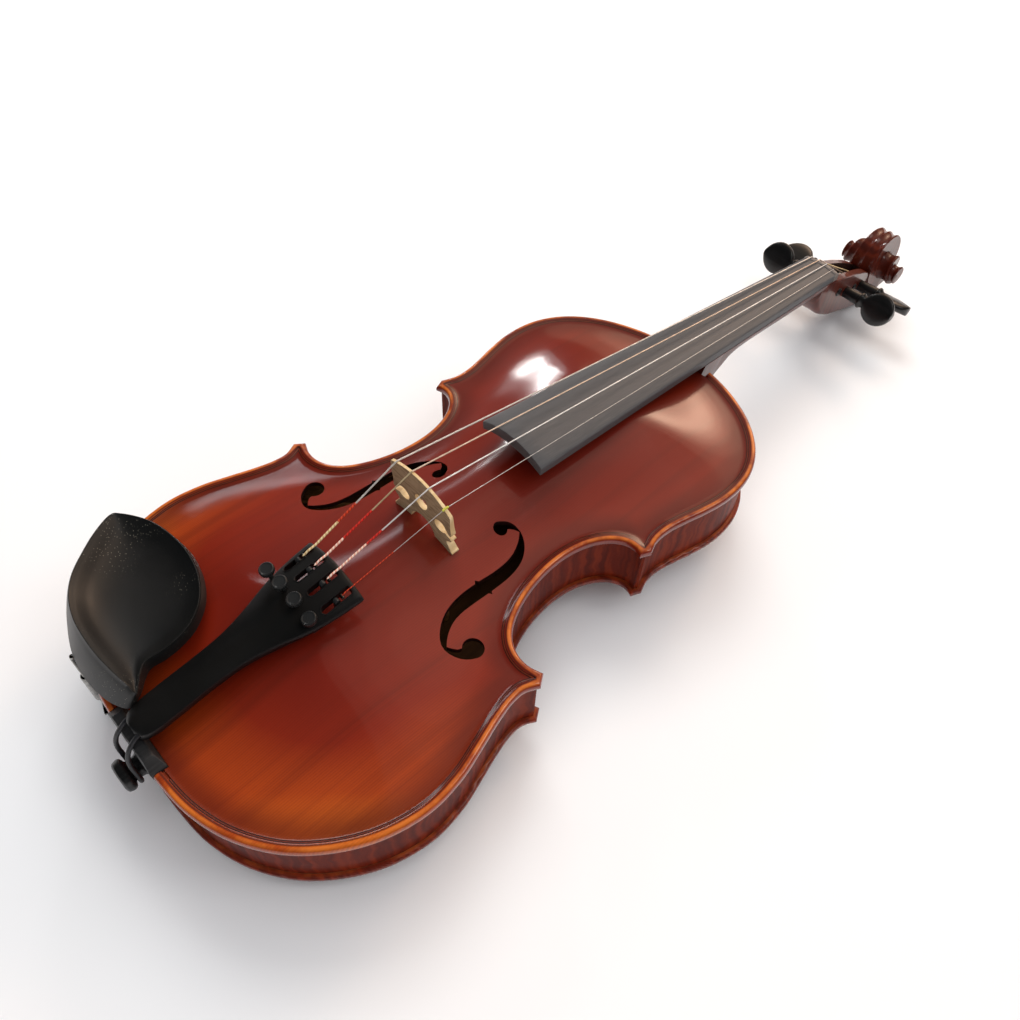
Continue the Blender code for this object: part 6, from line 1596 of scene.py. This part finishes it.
o = bridge_outline()
hole = heart_halves(foot(15) + 19.0)
pts = [tuple(p) for p in o] + [tuple(p) for p in hole]
g = np.array([(x, z) for x in np.arange(-20, 20.1, 2.0) for z in np.arange(14, 50, 2.0)])
ok = inside(g, o) & (dist(g, o) > 0.9) & ~inside(g, hole) & (dist(g, hole) > 0.9)
pts += [tuple(p) for p in g[ok]]
V2, T = triangulate(pts, ring_edges(0, len(o)) + ring_edges(len(o), len(hole)))
C = np.array([V2[list(t)].mean(0) for t in T])
ok = inside(C, o) & ~inside(C, hole)
T = [t for t, k in zip(T, ok) if k]
th = 4.3 - 2.9 * np.clip((V2[:, 1] - 14) / 33, 0, 1) ** 0.8
n = len(V2)
V = np.vstack([np.c_[V2[:, 0], BR_Y0 + th, V2[:, 1]], np.c_[V2[:, 0], np.full(n, BR_Y0), V2[:, 1]]])
et = {}
for a, b, c in T:
    for u in ((a, b), (b, c), (c, a)):
        et[u] = 1
F = [tuple(t) for t in T] + [(a + n, c + n, b + n) for a, b, c in T] + [(b, a, a + n, b + n) for (a, b) in et if (b, a) not in et]
ob = raw_object("bridge", V, F, [BRIDGE_M])
clean(ob)
bevel(ob, 0.22, 2, 50)
smooth(ob, 30)
show(ob, "violin", "bridge")

# sleeve on the E string
se = STRINGS[3]
sl = (BRIDGE_Z["e"] - string_line(se)[0]) / (NUT_Y + 2 - APEX)
sb = (BRIDGE_Z["e"] - 0.14 - tp_top(14.2, 107.9) - 0.68) / (APEX - 0.8 - 108.6)
sx = (17.0 - 14.2) / (APEX - 0.8 - 108.6)
path = [(17.0 - sx * 1.2, APEX - 2.0, BRIDGE_Z["e"] - 0.14 - sb * 1.2), (17.0, APEX, BRIDGE_Z["e"]), (17.0 - 1.6 * 8.75 / 327, APEX + 1.6, BRIDGE_Z["e"] - sl * 1.6)]
P = spline(path, 24)
V, F, run = sweep(P, np.r_[0.42, 0.53, np.full(len(P) - 4, 0.56), 0.53, 0.42], 20)
piece("e_string_sleeve", V, F, SLEEVE_M, "violin", "e_string_sleeve", angle=60, weld=0)

# ----------------------------------------------------------------- chin rest
REST = [((-8.0, 8.5, 14.0), (-7.5, 13.0, 22.0)), ((-15.5, 3.7, 13.0), (-12.5, 11.8, 25.5)),
        ((-25.8, 1.2, 12.5), (-20.5, 10.2, 27.0)), ((-37.6, 0.6, 12.5), (-31.0, 9.0, 28.0)),
        ((-50.3, 2.3, 12.5), (-42.0, 8.9, 28.5)), ((-63.5, 7.0, 13.0), (-53.0, 10.0, 29.0)),
        ((-74.5, 12.5, 13.5), (-64.0, 13.6, 29.0)), ((-83.5, 20.0, 14.5), (-73.5, 20.0, 29.0)),
        ((-90.5, 29.0, 16.0), (-82.0, 29.5, 28.5)), ((-95.5, 38.5, 17.5), (-89.0, 39.0, 28.0)),
        ((-98.0, 48.0, 19.0), (-94.0, 48.5, 27.0)), ((-94.5, 54.8, 18.5), (-92.5, 53.0, 25.5)),
        ((-86.5, 60.2, 17.5), (-85.5, 59.0, 24.0)), ((-78.0, 64.2, 17.0), (-77.8, 62.7, 23.0)),
        ((-68.5, 66.3, 16.5), (-68.7, 64.8, 22.0)), ((-58.5, 67.2, 16.5), (-59.0, 65.6, 21.5)),
        ((-48.5, 66.0, 16.5), (-49.3, 64.6, 21.3)), ((-40.0, 63.6, 16.5), (-41.0, 62.3, 21.2)),
        ((-32.2, 59.7, 16.5), (-33.6, 58.6, 21.2)), ((-25.8, 54.4, 16.5), (-27.3, 53.6, 21.2)),
        ((-20.3, 46.8, 16.5), (-22.0, 46.3, 21.2)), ((-17.6, 38.8, 16.5), (-19.3, 38.5, 21.2)),
        ((-16.6, 30.6, 16.5), (-18.4, 30.5, 21.2)), ((-17.0, 24.0, 16.5), (-18.5, 23.5, 21.4)),
        ((-14.5, 19.5, 16.0), (-15.5, 19.5, 21.8)), ((-10.5, 15.0, 15.0), (-10.5, 16.0, 22.0))]


def closed_spline(P, k):
    """Smooth closed curve with k points between each two stations."""
    P = np.asarray(P, float)
    out = []
    for i in range(len(P)):
        p0, p1, p2, p3 = P[i - 1], P[i], P[(i + 1) % len(P)], P[(i + 2) % len(P)]
        for t in np.arange(k) / k:
            out.append(0.5 * (2 * p1 + (p2 - p0) * t + (2 * p0 - 5 * p1 + 4 * p2 - p3) * t * t + (3 * p1 - p0 - 3 * p2 + p3) * t ** 3))
    return np.array(out)


RE, RC = closed_spline([a for a, b in REST], 8), closed_spline([b for a, b in REST], 8)
REST_C = np.array((-55.0, 38.0))


def inset(P, f, z):
    Q = P.copy()
    Q[:, :2] = REST_C + (P[:, :2] - REST_C) * f
    Q[:, 2] = z
    return Q


def shift(P, d, z):
    """Rim moved in by d millimetres towards the middle, at height z."""
    Q = P.copy()
    v = P[:, :2] - REST_C
    r = np.linalg.norm(v, axis=1)[:, None]
    Q[:, :2] = REST_C + v * np.clip((r - d) / r, 0.02, 1)
    Q[:, 2] = z
    return Q


cz = RC[:, 2]


def bowl(Q):
    """Dish of the rest: falls away from the rim by the distance to it."""
    Q = Q.copy()
    e = dist(Q[:, :2], RC[:, :2])
    ds = np.linalg.norm(np.roll(RC, -1, 0) - np.roll(RC, 1, 0), axis=1) / 2
    w = ds / (((Q[:, None, :2] - RC[None, :, :2]) ** 2).sum(2) + 0.8) ** 1.5
    zr = (w @ cz) / w.sum(1)
    t = np.clip((e - 1.5) / 3.0, 0, 1)
    d = e * (1 - t) + np.sqrt(2 / w.sum(1)) * t
    drop = 2.4 * (1 - np.exp(-np.clip(d - 0.5, 0, None) / 2.6))
    low = 16.0 + (zr - drop - 16.0) * np.clip((0.76 - d / 36) / 0.7, 0, 1) ** 2.2
    near = np.clip(d / 6.0, 0, 1)
    Q[:, 2] = (zr - drop) * (1 - near) + low * near
    return Q


rings = [bowl(inset(RC, f, 0)) for f in (0.03, 0.08, 0.15, 0.23, 0.32, 0.41, 0.5, 0.58, 0.66, 0.73, 0.79, 0.84, 0.88)]
rings += [bowl(shift(RC, d, 0)) for d in (2.9, 2.2, 1.6, 1.1, 0.75)]
rings += [shift(RC, 0.5, cz - 0.02), shift(RC, 0.25, cz - 0.05), shift(RC, 0.05, cz - 0.25), shift(RC, -0.05, cz - 0.6)]
for f in (0.15, 0.35, 0.55, 0.75, 0.9):
    Q = RC + (RE - RC) * f
    Q[:, 2] += 0.5 * math.sin(math.pi * f)
    rings.append(Q)
rings += [RE, inset(RE, 0.97, RE[:, 2] - 0.7), inset(RE, 0.9, RE[:, 2] - 1.0), inset(RE, 0.6, 12.6), inset(RE, 0.3, 12.4)]
V, F = loft(rings)
V, F = fan_caps(V, F, len(RC), len(rings))
ob = raw_object("chin_rest", V, F, [MOULDED_REST])
clean(ob)
smooth(ob, 38)
show(ob, "violin", "chin_rest")
K0, K1 = 48.0, 88.0
arcs = np.r_[0, np.cumsum(np.linalg.norm(np.diff(BOUT_L, axis=0), axis=1))]


def edge_at(d, s):
    Q = inward(BOUT_L, d)
    return np.array([-np.interp(s, arcs, Q[:, 0]), np.interp(s, arcs, Q[:, 1])])


def along(d, s0, s1, n):
    return np.array([edge_at(d, s) for s in np.linspace(s0, s1, n + 1)])


def strip(o, i, z0, z1):
    return loft([[(p[0], p[1], z1), (p[0], p[1], z0), (q[0], q[1], z0), (q[0], q[1], z1)] for p, q in zip(o, i)])


def soft_strip(name, d0, d1, s0, s1, z0, z1, mat, body, node, w=0.3):
    V, F = strip(along(d0, s0, s1, 24), along(d1, s0, s1, 24), z0, z1)
    ob = raw_object(name, V, F, [mat])
    clean(ob)
    bevel(ob, w, 2, 40)
    smooth(ob, 40)
    return show(ob, body, node)


soft_strip("chin_rest_rail", 3.0, 8.5, 30, K1, 6.45, 14.0, MOULDED_REST, "violin", "chin_rest", 0.5)
soft_strip("chin_rest_cork_pad", 2.6, 8.8, 30, K1, 4.45, 6.4, CORK_M, "violin", "chin_rest_cork", 0.25)
soft_strip("clamp_foot_cork_pad", 0.8, 8.0, K0 - 3, K1 + 3, -36.85, -35.45, CORK_M, "clamp_bracket", "clamp_foot_cork", 0.25)
soft_strip("clamp_bracket_foot", -6.0, 8.4, K0 - 4, K1 + 4, -38.3, -36.9, NICKEL_M, "clamp_bracket", "clamp_bracket", 0.45)


def thread(z0, z1, r, pitch=0.7):
    prof = [(z0, 0.001), (z0, r - 0.2)]
    k = int((z1 - z0 - 0.6) / pitch)
    for i in range(k):
        prof += [(z0 + 0.3 + i * pitch, r - 0.22), (z0 + 0.3 + (i + 0.5) * pitch, r)]
    return prof + [(z1 - 0.2, r - 0.2), (z1, r - 0.4), (z1, 0.001)]


for k, s in ((1, K0), (2, K1)):
    bx, by = edge_at(-3.7, s)
    V, F = lathe(thread(-37.4, -16.0, 1.3), 24, (bx, by, 0), (0, 0, 1))
    piece("clamp_rod_%d" % k, V, F, NICKEL_M, "clamp_bracket", "clamp_bracket", angle=50)
    V, F = lathe(thread(-12.0, 11.6, 1.3), 24, (bx, by, 0), (0, 0, 1))
    piece("clamp_upper_screw_%d" % k, V, F, NICKEL_M, "violin", "clamp_upper_screw_%d" % k, angle=50)
    prof = rounded([(-27.0, 1.6), (-27.0, 2.2), (-26.4, 2.5), (-25.2, 2.5), (-24.9, 2.3), (-24.6, 2.5), (-9.0, 2.5), (-8.7, 2.3), (-8.4, 2.5),
                    (-6.6, 2.5), (-6.0, 2.2), (-6.0, 1.6)], 0.15, 2)
    rings = [[(bx + q * math.cos(t), by + q * math.sin(t), z) for z, q in prof] for t in np.arange(48) * math.pi / 24]
    V, F = loft(rings, close=True)
    ob = raw_object("clamp_barrel_%d" % k, V, F, [NICKEL_M])
    clean(ob)
    for z, a in ((-16.5, 0.6), (-13.0, 0.6)):
        V, F = lathe([(-4, 0.75), (4, 0.75)], 20, (bx, by, z), (math.cos(a), math.sin(a), 0))
        c = raw_object("cutter", V, F, [NICKEL_M])
        clean(c)
        boolean(ob, c)
    smooth(ob, 40)
    show(ob, "clamp_barrel_%d" % k, "clamp_barrel_%d" % k)

# ------------------------------------------------ pieces kept as the solids
def keep(nodes, mat):
    for n in nodes:
        ob = frame["nodes"][n]
        if not ob.data.materials:
            ob.data.materials.append(mat)
        for i in range(len(ob.data.materials)):
            ob.data.materials[i] = mat


keep(["end_block", "neck_block", "corner_block_lower_treble", "corner_block_lower_bass", "corner_block_upper_treble",
      "corner_block_upper_bass", "lining_top_treble", "lining_top_bass", "lining_back_treble", "lining_back_bass", "bass_bar",
      "sound_post"], SPRUCE_RAW)
keep(["chin_rest_cork", "clamp_foot_cork"], CORK_M)

# --------------------------------------------------- floor, light, camera
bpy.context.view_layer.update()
me = bpy.data.meshes.new("floor")
me.from_pydata([(-6, -6, -0.0002), (6, -6, -0.0002), (6, 6, -0.0002), (-6, 6, -0.0002)], [], [(0, 1, 2, 3)])
floor = bpy.data.objects.new("floor", me)
bpy.context.scene.collection.objects.link(floor)
k = Tree("studio_floor")
k.set(Base_Color=k.mix(k.noise(k.scaled((3, 3, 3)), 1.0, 2.0), (0.855, 0.862, 0.875), (0.895, 0.902, 0.915)), Roughness=0.9, Specular_IOR_Level=0.1)
me.materials.append(k.m)


def light(name, pos, target, size, power, rgb=(1, 1, 1), mirrored=True, roll=0.0, shape='RECTANGLE'):
    L = bpy.data.lights.new(name, 'AREA')
    L.shape, L.size, L.size_y = shape, size[0], size[1]
    L.energy, L.color = power, rgb
    ob = bpy.data.objects.new(name, L)
    bpy.context.scene.collection.objects.link(ob)
    ob.location = pos
    d = Vector(target) - Vector(pos)
    ob.rotation_euler = (d.to_track_quat('-Z', 'Y') @ Quaternion((0, 0, 1), math.radians(roll))).to_euler()
    ob.visible_glossy = mirrored
    return ob


def from_violin(v):
    return Vector(ROT @ np.array(v, float))


ORIGIN = Vector(W((0, 200, 0)))
WIN = ORIGIN + from_violin((-1.60, 1.04, 0.83))
light("window", WIN, ORIGIN, (0.075, 0.34), 3.0, (1.0, 0.99, 0.98), roll=-43)
light("window_glow", WIN, ORIGIN, (0.26, 0.56), 0.6, (0.96, 0.98, 1.0), roll=-43, shape='ELLIPSE')
light("pane", ORIGIN + from_violin((-1.43, 0.466, 1.51)), ORIGIN + from_violin((-0.08, -0.08, 0)), (0.60, 0.15), 1.0, (0.93, 0.96, 1.0), roll=-20, shape='ELLIPSE')
WALL = ORIGIN + from_violin((-0.40, 1.85, 1.02))
for i, (w, h, p) in enumerate(((0.35, 0.25, 1.6), (0.6, 0.4, 3.4), (0.9, 0.6, 5.6), (1.25, 0.85, 6.8), (1.7, 1.15, 6.6), (2.4, 1.6, 5.4))):
    light("wall_%d" % i, WALL, ORIGIN, (w, h), p, (1.0, 0.70, 0.50), shape='ELLIPSE')
for i, (w, h, p) in enumerate(((0.8, 0.6, 0.6), (1.3, 1.0, 1.2), (2.0, 1.5, 1.9), (2.8, 2.1, 2.2))):
    light("ceiling_%d" % i, ORIGIN + from_violin((-0.12, 1.1, 1.95)), ORIGIN, (w, h), p, (1.0, 0.84, 0.70), shape='ELLIPSE')
light("key", ORIGIN + from_violin((-1.3, 1.1, 1.9)), ORIGIN, (1.2, 1.2), 27.0, (1.0, 0.98, 0.95), False)
light("sky", ORIGIN + from_violin((0.5, 0.0, 3.4)), ORIGIN, (4.6, 4.6), 64.0, (0.98, 0.985, 1.0), False)
light("strip", ORIGIN + from_violin((1.05, 0.85, 1.45)), ORIGIN, (0.5, 0.9), 4.0, (1.0, 0.99, 0.97))
light("fill", ORIGIN + from_violin((1.8, -1.6, 0.9)), ORIGIN, (1.4, 1.0), 9.0, (1.0, 0.95, 0.90), False)
world = bpy.data.worlds.new("studio")
bpy.context.scene.world = world
world.use_nodes = True
bg = world.node_tree.nodes["Background"]
bg.inputs[0].default_value = (0.93, 0.95, 1.0, 1)
bg.inputs[1].default_value = 0.24
world.cycles_visibility.glossy = False

cam = bpy.data.cameras.new("camera")
cam.sensor_width, cam.lens = 36.0, 903.194 / 1020 * 36.0
cam.shift_x, cam.shift_y = 0.028846, -0.003186
cam.clip_start, cam.clip_end = 0.01, 50.0
eye = bpy.data.objects.new("camera", cam)
bpy.context.scene.collection.objects.link(eye)
right = np.array((0.66616048, 0.74579575, 0.00434853))
down = np.array((0.59101652, -0.52433415, -0.6130034))
fwd = np.array((-0.45489525, 0.41092869, -0.7900683))
A = np.stack([ROT @ right, ROT @ -down, ROT @ -fwd], 1)
Mx = Matrix.Identity(4)
for i in range(3):
    for j in range(3):
        Mx[i][j] = float(A[i][j])
pos = W((208.7453809, 6.49426127, 360.43058658))
for i in range(3):
    Mx[i][3] = float(pos[i])
eye.matrix_world = Mx
bpy.context.scene.camera = eye
bpy.context.scene.view_settings.view_transform = 'Standard'
